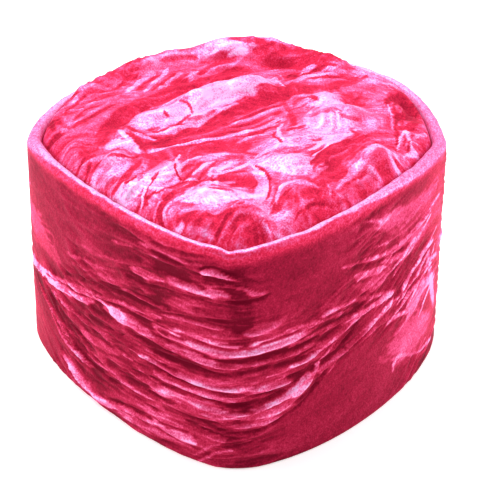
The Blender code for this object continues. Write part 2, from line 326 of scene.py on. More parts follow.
# %% Chart of the band's folds
FOLD_SWELL = 0.0026
# In the first group, two narrow upright stripes of very low lie down the front point are a painted shadow,
# the low-lie patches across the upper front are painted shade, and the high-lie patches at the two sides are
# painted light where the side lamps fall. In all groups, crests mostly carry a high lie, a painted
# highlight, and creases a low one, a painted shade.
BAND_FOLDS = read_chart("""
broad patches, plain, shaded or glowing
183.6 .72  190.4 .644  202.4 .644  .0821 0 .6
189.8 .568  198.2 .584  207.4 .572  .0386 0 .46
194.6 .276  200.2 .156  209.4 .108  .0628 0 .2
217.8 .864  230 .84  240.8 .792  .058 0 .17
228 .808  246 .824  261.8 .844  .0628 0 .12
255.4 .864  265 .848  272.2 .8  .0676 0 .13
275.4 .908  284.4 .896  294.8 .88  .1063 0 .15
282.2 .72  290.4 .736  299.2 .776  .0773 0 .16
276 .096  290.4 .184  307.4 .268  .1159 0 .19
307.6 .148  321.8 .152  332.8 .192  .0676 0 .24
270.2 .956  271 .756  271 .504  .0435 0 .05
251.2 .8  251.4 .604  250.6 .356  .0193 0 .12
316.6 .264  328.8 .236  346 .168  .1159 0 .6
316.6 .836  330.8 .824  346.8 .852  .0725 0 .46
326.4 .356  334 .408  346.4 .428  .058 0 .78
306.4 .64  310.8 .648  316.4 .648  .0386 0 .44
249.4 .424  262.4 .388  273.2 .38  .0483 0 .42
272.4 .4  281.6 .372  289.6 .4  .0435 0 .42
248.4 .272  261.4 .256  271.2 .256  .0386 .2 .46
270.4 .248  278.2 .26  286.8 .328  .0338 .2 .46
244.8 .152  257.2 .156  268.2 .148  .0435 0 .46
229.2 .52  241.8 .524  253.8 .512  .029 .1 .64
209.2 .116  218.6 .068  229.8 .056  .0338 .1 .66
236 .056  250.8 .072  261.8 .092  .029 .05 .6
250.4 .288  261 .292  270.8 .288  .0242 .05 .62
344 .208  332.8 .212  321.8 .192  .0725 0 .66
341.4 .58  345.6 .404  349.2 .224  .029 0 .84
311.6 .892  326 .852  343.8 .844  .0386 0 .56
313.6 .712  326.2 .696  341.4 .708  .029 0 .58
254 .696  257.8 .72  261.2 .732  .0338 .15 .44
271.8 .652  276 .66  281.2 .676  .029 .25 .5
the bright crest that comes in from the left
186 .444  201.6 .44  226.2 .504  .0164 .55 .92
208.4 .496  229.2 .56  252.2 .628  .0087 .25 .74
211 .548  229.4 .612  251.6 .664  .0116 -.3 .05
232.8 .536  242.6 .52  252.6 .516  .0232 .5 .84
229 .508  238.6 .48  251.2 .48  .0097 -.25 .08
227.2 .544  240.4 .572  251.4 .576  .0077 -.2 .14
long crests and creases across the front
248.2 .572  262 .56  272.4 .568  .0174 .6 .84
270.6 .568  279.4 .564  291.2 .568  .0164 .55 .78
252 .6  262.6 .596  271.8 .6  .0068 .2 .62
248.8 .536  261.6 .528  272 .536  .0077 -.25 .06
271 .544  280.8 .528  291.2 .528  .0077 -.25 .08
248.8 .504  261.6 .5  272.4 .504  .0116 .4 .8
271 .504  280.8 .504  291.2 .504  .0116 .4 .74
248.8 .464  261.6 .46  273.2 .476  .0126 -.38 .04
272.4 .48  281.4 .472  291.4 .472  .0116 -.35 .06
248.8 .428  261.4 .388  272.4 .396  .0106 .35 .64
271.2 .396  280.4 .38  289 .396  .0106 .35 .6
248.6 .392  261 .368  272 .368  .0097 -.3 .05
271.2 .368  279.6 .36  286.8 .384  .0097 -.3 .06
fine lines between them
250.8 .572  262.6 .576  271 .588  .0043 -.12 .2
253 .488  263.8 .484  272.4 .484  .0043 -.12 .22
251.8 .396  263.4 .388  273.2 .384  .0043 .12 .7
273.2 .6  281.2 .6  289.4 .604  .0058 .16 .66
275.8 .548  282.8 .548  291.8 .548  .0058 .16 .72
274.8 .516  282.4 .512  291.2 .528  .0048 -.12 .2
277.2 .432  284 .44  291.4 .472  .0058 .14 .62
277.4 .6  284.8 .608  293.8 .588  .0048 .12 .56
the tongue below the middle
259 .288  270.4 .28  279.2 .32  .0116 .45 .7
276.4 .308  284 .336  289.4 .384  .0164 .55 .84
254.6 .332  265.6 .324  275 .32  .0126 -.35 .08
273.2 .32  281 .348  286.8 .392  .0106 -.3 .1
265.6 .236  273.4 .212  281.6 .24  .0097 .3 .6
262.4 .216  273.4 .184  282.2 .236  .0077 -.28 .04
280.6 .224  287.4 .276  290.8 .364  .0077 -.25 .06
267 .3  274.6 .288  282.6 .308  .0043 -.1 .16
267.4 .268  275 .252  283.2 .276  .0043 .12 .76
269.4 .244  276 .232  282.6 .252  .0039 -.1 .2
249.2 .356  261.4 .336  270.4 .336  .0077 .22 .6
248.6 .32  260 .316  268.2 .324  .0077 -.2 .08
diagonals at the left
189.8 .34  206.2 .26  223.2 .168  .0106 .35 .66
193.6 .384  209 .324  226.4 .264  .0077 -.22 .12
196.8 .4  220.6 .38  251.2 .416  .0087 .25 .52
198.6 .436  223 .428  251.8 .452  .0072 -.2 .1
206 .236  214.6 .204  224.4 .168  .0106 .3 .8
217.2 .324  226.6 .316  236.8 .344  .0213 .2 .5
221.2 .224  236.4 .212  251.6 .208  .0077 .22 .56
220.2 .196  235.4 .18  250.8 .172  .0072 -.2 .12
233.2 .296  245.8 .288  256.2 .284  .0145 .35 .62
230.2 .264  245 .248  256.2 .256  .0087 -.25 .08
248.4 .272  252.6 .28  256.2 .284  .0193 .25 .8
238.6 .436  248 .44  257.6 .44  .0068 .16 .5
234.2 .392  247.4 .408  257.4 .404  .0087 -.22 .08
244.6 .396  252.4 .396  260.6 .404  .0097 .28 .68
the bright patch low on the left
211.4 .124  219.8 .036  235.2 .052  .0222 .45 .88
217.6 .112  227 .076  239.4 .076  .0048 -.1 .3
206.8 .108  215.2 .04  225.8 .024  .0116 0 .16
curls along the hem
233.6 .068  246.8 .088  261.4 .108  .0174 .3 .62
232.6 .08  246.8 .116  259.8 .128  .0063 -.18 .12
236.8 .064  248.2 .084  258.2 .084  .0058 -.16 .14
238.6 .068  247.4 .056  254.8 .064  .0097 .2 .78
248.8 .116  256 .096  262.2 .092  .0106 .2 .76
251.4 .076  256 .076  261.2 .076  .0068 .12 .68
250.2 .092  256.6 .076  262.2 .068  .0053 -.14 .14
261.4 0  267.4 .084  272.6 .116  .0068 .14 .54
259.8 .016  265.6 .104  271.2 .16  .0058 .12 .46
262.2 .024  268.2 .108  274.8 .128  .0068 -.14 .12
261.4 .16  267.4 .144  273.4 .144  .0087 .18 .52
258.8 .188  265.6 .172  272.6 .156  .0068 -.16 .14
269.4 .148  272 .116  275.2 .096  .029 0 .12
lines in the upper part of the front
211.4 .652  223.6 .68  237.4 .728  .0058 .14 .44
214.8 .624  228.4 .66  243.6 .712  .0058 .12 .38
234.4 .848  244.8 .88  253.2 .892  .0063 .16 .52
244.8 .9  252.6 .916  260 .912  .0068 .18 .6
243.2 .876  252.6 .896  260.4 .892  .0068 -.16 .06
249.6 .956  257.6 .964  264 .976  .0068 .18 .56
249.6 .94  258 .948  265.4 .964  .0068 -.16 .05
221.8 .744  233.4 .764  243 .796  .0048 .1 .36
257 .916  262.8 .92  268.2 .928  .0058 .14 .5
252.4 .868  261.8 .884  271 .888  .0077 -.18 .06
227.6 .66  240 .692  251.6 .72  .0063 .14 .4
227.6 .628  239.8 .66  251.6 .688  .0077 -.18 .08
238.2 .656  247.8 .668  256.8 .68  .0068 .18 .52
253.4 .648  260.2 .66  268.2 .668  .0077 .18 .52
249 .64  260.2 .688  270.2 .704  .0106 -.22 .08
254.4 .636  262.6 .64  271 .632  .0048 .1 .3
253.8 .588  261.6 .596  269.4 .616  .0048 .12 .46
leaf shapes and a brow under the rim
242.6 .78  248.2 .784  253.2 .796  .0193 .35 .92
240.8 .736  247.2 .74  253.6 .764  .0077 -.2 .08
263.6 .884  266.6 .908  271 .884  .0126 .28 .74
263.2 .904  268.2 .924  275.4 .86  .0072 -.22 .03
263.6 .86  267.4 .88  272.2 .856  .0058 -.16 .08
253.6 .804  259.4 .812  264.4 .82  .0222 .35 .68
252.4 .764  259.8 .772  265.2 .796  .0077 -.22 .08
263.2 .816  266.2 .82  269.4 .816  .0174 .28 .86
271.8 .844  274.2 .816  277.4 .816  .0116 .25 .66
267.4 .796  273 .788  277.8 .804  .0106 -.28 .03
264 .84  269.4 .856  273.4 .832  .0058 .14 .5
streaks high on the right
298.4 .788  309 .748  326.2 .724  .0077 .2 .66
322.6 .728  334.6 .744  351.2 .792  .0106 .3 .84
301.4 .756  314.4 .716  331 .692  .0077 -.2 .12
317.4 .628  323.8 .664  333.4 .704  .0087 .24 .96
319.6 .588  327.2 .624  336.2 .656  .0116 -.26 .12
329.6 .74  338.6 .764  351.2 .772  .0058 -.12 .3
324 .792  334.6 .828  348.6 .868  .0068 .18 .62
309.8 .84  320.6 .832  330.8 .824  .0058 .14 .52
305.4 .94  309.8 .924  314.6 .896  .0077 .1 .6
302.2 .708  308 .692  315.6 .672  .0155 .26 .88
303 .672  309.8 .644  318.6 .632  .0126 0 .44
folds that hang like a curtain
290.6 .612  300.8 .616  319.6 .536  .0097 .24 .64
289.4 .592  300.8 .584  319.6 .508  .0077 -.22 .08
281.8 .532  290.6 .552  304.8 .54  .0126 .3 .66
300.8 .54  311.6 .532  321.8 .536  .0106 .28 .74
282.2 .58  290.6 .592  303.2 .58  .0068 .18 .56
282.8 .552  291.8 .568  304.8 .556  .0058 -.18 .1
282.4 .452  290.8 .464  304 .536  .0097 .3 .8
282 .408  291.4 .404  305.6 .516  .0126 -.32 .06
285 .468  292 .492  300 .52  .0068 0 .36
steep folds right of the middle
290.2 .36  300.2 .408  319.6 .496  .0145 .45 .78
290.8 .316  302.6 .38  317.6 .412  .0077 -.16 .2
282.6 .308  287.4 .332  291.4 .416  .0126 .35 .84
282.2 .272  288.6 .304  293.4 .372  .0106 -.25 .08
the fan at the right side
325 .504  335 .568  347 .596  .0097 .28 .92
322.8 .54  331 .596  341.8 .636  .0087 -.22 .16
330 .428  339.2 .508  351 .492  .0087 .24 .9
321.6 .452  331.2 .508  343.6 .564  .0072 .2 .8
324 .444  333.8 .488  345.8 .516  .0068 -.16 .24
319.8 .416  326.2 .448  335 .48  .0097 .24 .84
317.6 .452  324 .484  331.2 .528  .0097 -.2 .3
335.4 .284  341.4 .348  349.6 .4  .0097 .2 .94
331 .636  336.2 .676  344.6 .704  .0106 -.18 .34
336.2 .588  342 .604  348.6 .644  .0068 .18 .84
315.6 .388  321.8 .4  330 .368  .0097 .2 .8
curls low on the right
320.4 .128  322.4 .188  331.6 .128  .0087 .26 .82
329 .148  337.6 .096  346.8 .072  .0072 .18 .74
323 .1  326.6 .132  334.6 .08  .0068 -.16 .34
long lines over the left diagonals
189.4 .432  215 .504  238.8 .552  .0077 .2 .86
238 .544  252 .524  267 .512  .0072 .2 .82
215 .524  242 .584  266.6 .604  .0048 .14 .62
199.2 .264  209.8 .196  225.4 .176  .0058 .14 .62
225.8 .388  241.4 .34  255.8 .292  .0053 .14 .58
206.2 .28  226.4 .244  244.8 .212  .0043 .1 .5
220.6 .42  237.6 .388  253 .376  .0043 .1 .46
218.6 .464  239.4 .488  257.6 .488  .0077 -.12 .08
208.4 .236  226.2 .192  241.2 .172  .0077 -.1 .12
233.4 .396  248.6 .38  262.4 .38  .0077 -.1 .1
ridge edges and a spray at the right
319.6 .544  301.6 .508  290.2 .396  .0058 .14 .74
322.8 .492  305.6 .444  293.4 .336  .0048 .1 .6
320.2 .6  330.4 .672  343.6 .74  .0087 .14 .8
315.6 .672  324 .728  335.8 .756  .0053 .1 .66
309.8 .796  321.6 .772  335.8 .792  .0048 .1 .62
331.4 .408  339.6 .464  349.2 .568  .0063 .1 .9
326.2 .408  335 .46  342.4 .512  .0058 .1 .82
the back
352 .55  395 .48  442 .55  .046 .75 .72 -.3
372 .28  420 .23  472 .33  .044 .7 .66 -.35
380 .22  424 .17  470 .26  .018 -.33 .08
398 .62  445 .66  488 .6  .022 -.41 .08
380 .82  430 .75  478 .79  .034 .5 .62 .2
452 .6  490 .44  532 .42  .04 .7 .74 .3
458 .52  494 .37  534 .35  .018 -.33 .08
482 .78  512 .72  546 .8  .03 .5 .66
470 .07  500 .06  530 .1  .03 .45 .6
372 .6  384 .66  400 .66  .12 0 .52
500 .2  514 .24  530 .24  .12 0 .5
""")
print(len(BAND_FOLDS), "charted folds on the band")

# %% [markdown]
# The random crumples follow the same hang as the long folds. A table of how far the cloth is pulled up at
# each angle bends the noise, so that its ridges run with the charted folds. Where the velvet lies smooth,
# a few round patches calm the noise down. At the two sides, where the flat cap was creased, the cloth is
# smoother, and its lie is raised, more at the right: painted light where the side lamps fall.
#
# The ridges come in three layers. Here a layer says how many ridges there are once round the cap and how
# many up the band. Its seed follows, then the height of its ridges, in metres, and how much they sway the
# lie: their crests are painted lighter and the hollows between darker, a painted highlight and painted
# shade.

# %% Crumples of the band
BAND_LIE = 0.22
BAND_COVER = 0.85
BAND_SINK = 0.0004
LEFT_SIDE = 180.0
RIGHT_SIDE = 351.0
Layer = namedtuple("Layer", "along across seed height lie")
BAND_LAYERS = [
    Layer(12, 11.0, 21, 0.00085, 0.17),
    Layer(22, 24.0, 22, 0.00050, 0.19),
    Layer(42, 52.0, 23, 0.00022, 0.17),
]
PULL_ANGLES = [170, 182, 205, 226, 262, 285, 300, 335, 352, 400, 445, 490, 530]
PULL_SHARES = [0.20, 0.22, 0.02, -0.08, -0.02, 0.03, 0.12, 0.38, 0.40, 0.05, 0.00, -0.04, 0.20]
Calm = namedtuple("Calm", "name angle height angle_reach height_reach calm")
CALM_PATCHES = [
    Calm("upper_left", 196, 0.76, 20, 0.28, 0.85),
    Calm("upper_right", 336, 0.84, 20, 0.18, 0.75),
    Calm("upper_front_left", 222, 0.84, 22, 0.12, 0.60),
    Calm("upper_front_right", 286, 0.86, 16, 0.20, 0.90),
    Calm("low_right", 304, 0.16, 26, 0.24, 0.92),
    Calm("low_left", 192, 0.14, 14, 0.16, 0.75),
    Calm("right_rose", 338, 0.26, 15, 0.17, 0.92),
    Calm("back_low", 440, 0.12, 30, 0.16, 0.70),
]


def wrap_angle(degrees, middle):
    """The same direction, within half a turn of the middle."""
    return middle + (degrees - middle + 180.0) % 360.0 - 180.0


def near_angle(degrees, middle, reach):
    """1 at one angle round the cap, falling off softly to almost 0 two reaches away from it."""
    return np.exp(-(((wrap_angle(degrees, middle) - middle) / reach) ** 2))


def calmness(degrees, share):
    """0 where the cloth is crumpled, up to 1 where it lies smooth."""
    calm = np.zeros(len(degrees))
    for patch in CALM_PATCHES:
        across = (wrap_angle(degrees, patch.angle) - patch.angle) / patch.angle_reach
        away = np.hypot(across, (share - patch.height) / patch.height_reach)
        calm = np.maximum(calm, patch.calm * smooth_step((1.15 - away) * 2.5))
    return calm


def add_layers(layers, crests, mean):
    """The relief, in metres, and the lie that layers of ridges add up to. The lie sways round the mean,
    lighter on the crests and darker between them: painted highlight and painted shade.
    """
    relief = sum(layer.height * crest for layer, crest in zip(layers, crests))
    return relief, sum(layer.lie * (crest - mean) for layer, crest in zip(layers, crests))


def band_crumples(degrees, share):
    """Relief, in metres, and lie of the random crumples, with their crests painted lighter and hollows
    darker.
    """
    pull = np.interp(wrap_angle(degrees, 350.0), PULL_ANGLES, PULL_SHARES, period=360.0)
    level = share - pull * (1.0 - 0.55 * share)
    wander = crumple(np.column_stack([degrees / 22.5, share * 3.0]), 11, 16)
    level = level + 0.020 * wander
    around = degrees / 360.0
    crests = []
    for layer in BAND_LAYERS:
        place = np.column_stack([around * layer.along, level * layer.across])
        crests.append(ridges(place, layer.seed, layer.along) ** 2)
    relief, lie = add_layers(BAND_LAYERS, crests, 0.38)
    free = 1.0 - calmness(degrees, share)
    patches = crumple(np.column_stack([around * 20.0, level * 9.0]), 31, 20)
    return free * (relief - BAND_SINK), free * lie + 0.16 * patches * (0.35 + 0.65 * free)


GIRTH_RADIUS = (HEM_HALF_WIDTH + HEM_HALF_LENGTH) / 2.0


def band_surface(degrees, share):
    """Relief, in metres, and lie of the pile for points of the band's outer face."""
    relief = np.zeros(len(degrees))
    lie = np.full(len(degrees), BAND_LIE)
    drift_x = crumple(np.column_stack([degrees / 11.25, share * 6.0]), 41, 32)
    drift_y = crumple(np.column_stack([degrees / 11.25, share * 6.0]), 42, 32)
    for fold in BAND_FOLDS:
        turned = np.radians(wrap_angle(degrees, fold.x1)) * GIRTH_RADIUS
        points = np.column_stack([turned + 0.0016 * drift_x, share * BAND_HEIGHT + 0.0007 * drift_y])
        line = fold_line(*[(math.radians(a) * GIRTH_RADIUS, h * BAND_HEIGHT) for a, h in ends_of(fold)])
        half_width, rise = fold.half_width * BAND_HEIGHT, fold.rise * FOLD_SWELL
        press_fold(fold, (relief, lie), points, line, half_width, rise, BAND_COVER)
    rough_relief, rough_lie_and_light = band_crumples(degrees, share)
    left, right = near_angle(degrees, LEFT_SIDE, 9.0), near_angle(degrees, RIGHT_SIDE, 11.0)
    lie = lie + rough_lie_and_light * (1.0 + 0.9 * smooth_step((lie - 0.35) / 0.4))
    # Painted light at the two sides: the lie is raised where the side lamps fall, more at the right.
    lie = lie + 0.10 * left + 0.26 * right * smooth_step(share * 2.0 + 0.3)
    return (relief + rough_relief) * (1.0 - 0.65 * np.maximum(left, right)), lie


trial = band_surface(np.linspace(180.0, 360.0, 500), np.full(500, 0.5))[0]
print("band relief spans %.1f to %.1f mm" % (trial.min() * 1000, trial.max() * 1000))

# %% [markdown]
# ## The band's mesh
#
# The real band is one strip folded over a soft rim. Its mesh is made the same way, as one closed skin: up
# the outer face with its folds, over the roll, down the plain facing and across the hem. It could be a
# curve with a profile, but then the folds couldn't differ from place to place. Rings of points keep full
# control.
#
# Two numbers go with each point for the velvet to read. One is the lie of the pile, into which painted light
# is mixed as well. The other is a share of painted light, which picks a lit or a shaded copy of the velvet's
# colours: 1 over the rim, which faces the light from above, a little less at the two sides, where the side
# lamps fall, and on the facing, and 0 down the upright front.

# %% Build the band
BAND_COLUMNS = 520
OUTER_ROWS = 148
ROLL_ROWS = 11
FACING_ROWS = 14
FACING_CROWDING = 1.6


def column_angles(count):
    """Directions round the cap in degrees, closer together over the front, where the finest folds are."""
    turn = np.linspace(0.0, 2.0 * math.pi, count, endpoint=False)
    return np.degrees(turn + 0.28 * np.cos(turn + math.pi)) % 360.0


def closed_rings(rings):
    """The points of a row of rings, and faces that join each ring to the next and the last to the first."""
    rows, count = len(rings), len(rings[0])
    index = np.arange(rows * count).reshape(rows, count)
    upper = np.roll(index, -1, axis=0)
    faces = np.stack([index, np.roll(index, -1, axis=1), np.roll(upper, -1, axis=1), upper], axis=-1)
    return np.concatenate(rings), faces.reshape(-1, 4)


def cloth_object(name, points, faces, marks):
    """A mesh object with these points and faces, and a number for each point under each mark's name."""
    mesh = bpy.data.meshes.new(name)
    mesh.from_pydata(points.tolist(), [], [list(face) for face in faces])
    mesh.validate()
    mesh.shade_smooth()
    for mark, values in marks.items():
        layer = mesh.attributes.new(mark, "FLOAT", "POINT")
        layer.data.foreach_set("value", np.asarray(values, np.float32))
    return add_object(name, mesh)


def count_triangles(obj):
    """How many triangles an object's faces make."""
    return sum(len(face.vertices) - 2 for face in obj.data.polygons)


def rim_wave(degrees):
    """How far the soft rim dips and rises, in metres, with the small pinch at the front point."""
    turn = np.column_stack([degrees / 15.0, np.zeros(len(degrees))])
    wave = 0.0006 * crumple(turn, 51, 24) + 0.0004 * crumple(turn * 3.0, 52, 72)
    pinch = near_angle(degrees, 268.5, 1.6) - 0.5 * near_angle(degrees, 264.5, 2.2)
    return wave - 0.0011 * pinch


def rim_light_and_grain(degrees, depth):
    """Lie of the pile near the rim, and how much it counts, by how far down from the crest a point lies. It
    is painted light: a painted highlight along the roll's crest, wider at the two sides, and a lighter red
    strip under it that fades to crimson lower down, with grain.
    """
    turns = np.column_stack([degrees / 6.0, np.zeros(len(degrees))])
    grain = crumple(np.column_stack([degrees / 1.5, depth / 0.0012]), 53, 240)
    onward = wrap_angle(degrees, 350.0)
    right = smooth_step((onward - 292.0) / 52.0) * smooth_step((408.0 - onward) / 40.0)
    lit_sides = near_angle(degrees, LEFT_SIDE, 15.0) + right
    reach = 0.0010 + 0.0006 * crumple(turns, 54, 60) + 0.0036 * lit_sides
    inner = 0.0022 + 0.0040 * lit_sides
    painted_highlight = smooth_step((reach - depth) / 0.0007 + 0.5) * smooth_step((depth + inner) / 0.0009)
    lit_strip = smooth_step(1.0 - (depth - 0.0040) / 0.0040)
    painted_light = 0.49 + 0.06 * crumple(turns * 0.5, 55, 30) + 0.18 * lit_sides
    lie = 0.15 + (painted_light - 0.15) * lit_strip
    lie = lie + (0.93 - 0.16 * lit_sides - lie) * painted_highlight + 0.10 * grain
    return lie, smooth_step(1.0 - (depth - 0.0020) / 0.0070)


def make_band():
    """The doubled strip as one closed skin."""
    degrees = column_angles(BAND_COLUMNS)
    angle = np.radians(degrees)
    roll = roll_width(angle) / 2.0
    top = BAND_HEIGHT - roll
    wave = rim_wave(degrees)
    # Painted light: the two sides, where the side lamps fall, take most of the lit copy of the velvet's
    # colours.
    side_light = 0.75 * near_angle(degrees, 184.0, 18.0) + 0.80 * near_angle(degrees, RIGHT_SIDE, 15.0)
    rings, lies_and_light, light_shares = [], [], []

    def add_ring(height, inset, lie, rise, painted_light=0.0):
        flat = band_outline(angle, height) + inward(angle, height) * inset[:, None]
        rings.append(np.column_stack([flat, height + rise]))
        lies_and_light.append(lie)
        light_shares.append(np.zeros(BAND_COLUMNS) + painted_light)

    none = np.zeros(BAND_COLUMNS)
    rows = np.linspace(0.0, 1.0, OUTER_ROWS + 1)[:, None]
    heights = HEM_ROUND + (top - HEM_ROUND) * rows
    spread = np.broadcast_to(degrees, heights.shape)
    reliefs, face_lies_and_light = band_surface(spread.ravel(), heights.ravel() / BAND_HEIGHT)
    reliefs, face_lies_and_light = reliefs.reshape(heights.shape), face_lies_and_light.reshape(heights.shape)
    hem_relief, hem_lie_and_light = reliefs[0], face_lies_and_light[0]
    add_ring(none, none + HEM_ROUND - hem_relief * 0.5, hem_lie_and_light, 0.0)
    for k in range(OUTER_ROWS + 1):
        height, lie = heights[k], face_lies_and_light[k]
        below = (top - height) / roll
        relief = reliefs[k] * (0.5 + 0.5 * smooth_step(k / 6.0)) * (0.35 + 0.65 * smooth_step(below / 2.2))
        # Near the rim, the roll's painted highlight and the lighter strip under it are brushed over the
        # face's lie.
        rim_light, share = rim_light_and_grain(degrees, top - height + roll * math.pi / 2.0)
        lie = lie + (rim_light - lie) * share * 0.9
        add_ring(height, -relief, lie, wave * smooth_step(1.0 - below / 4.0), np.maximum(share, side_light))
    grain = 0.14 * crumple(np.column_stack([degrees / 3.0, none]), 56, 120)
    for k in range(1, ROLL_ROWS + 1):
        bend = math.pi * k / (ROLL_ROWS + 1)
        height = top + roll * math.sin(bend)
        lie, _ = rim_light_and_grain(degrees, roll * (math.pi / 2.0 - bend))
        add_ring(height, roll * (1.0 - math.cos(bend)) + 0.0004 * grain, lie, wave, 1.0)
    for k in range(FACING_ROWS + 1):
        fall = (k / FACING_ROWS) ** FACING_CROWDING
        height = top + (HEM_ROUND - top) * fall
        # The top of the facing is painted lighter, painted light from above, and the facing takes most of
        # the lit copy of the velvet's colours.
        lie = 0.30 + grain + 0.28 * smooth_step(1.0 - (top - height) / 0.009)
        add_ring(height, wall_inset(angle, height), lie, wave * smooth_step(1.0 - k / 3.0), 0.8)
    add_ring(none, none + BAND_WALL - HEM_ROUND, hem_lie_and_light, 0.0)
    marks = {"pile_lie": np.concatenate(lies_and_light), "pile_glow": np.concatenate(light_shares)}
    return cloth_object("velvet_band", *closed_rings(rings), marks)


band = make_band()
print("band has", count_triangles(band), "triangles")

# %% [markdown]
# ## The folds of the crown
#
# The crown is a panel with far more cloth than the opening needs, so it stands up in rolls. Broad folds
# cross it from the left to the back, and short ones gather round the front and the sides, where it is sewn
# down. A place is a share of the rim's half width, from -1 at the left to 1 at the right, and a share of
# its half length, from -1 at the front to 1 at the back. A fold's own half width is a share of the rim's
# half width, and its rise one of CROWN_RISE.

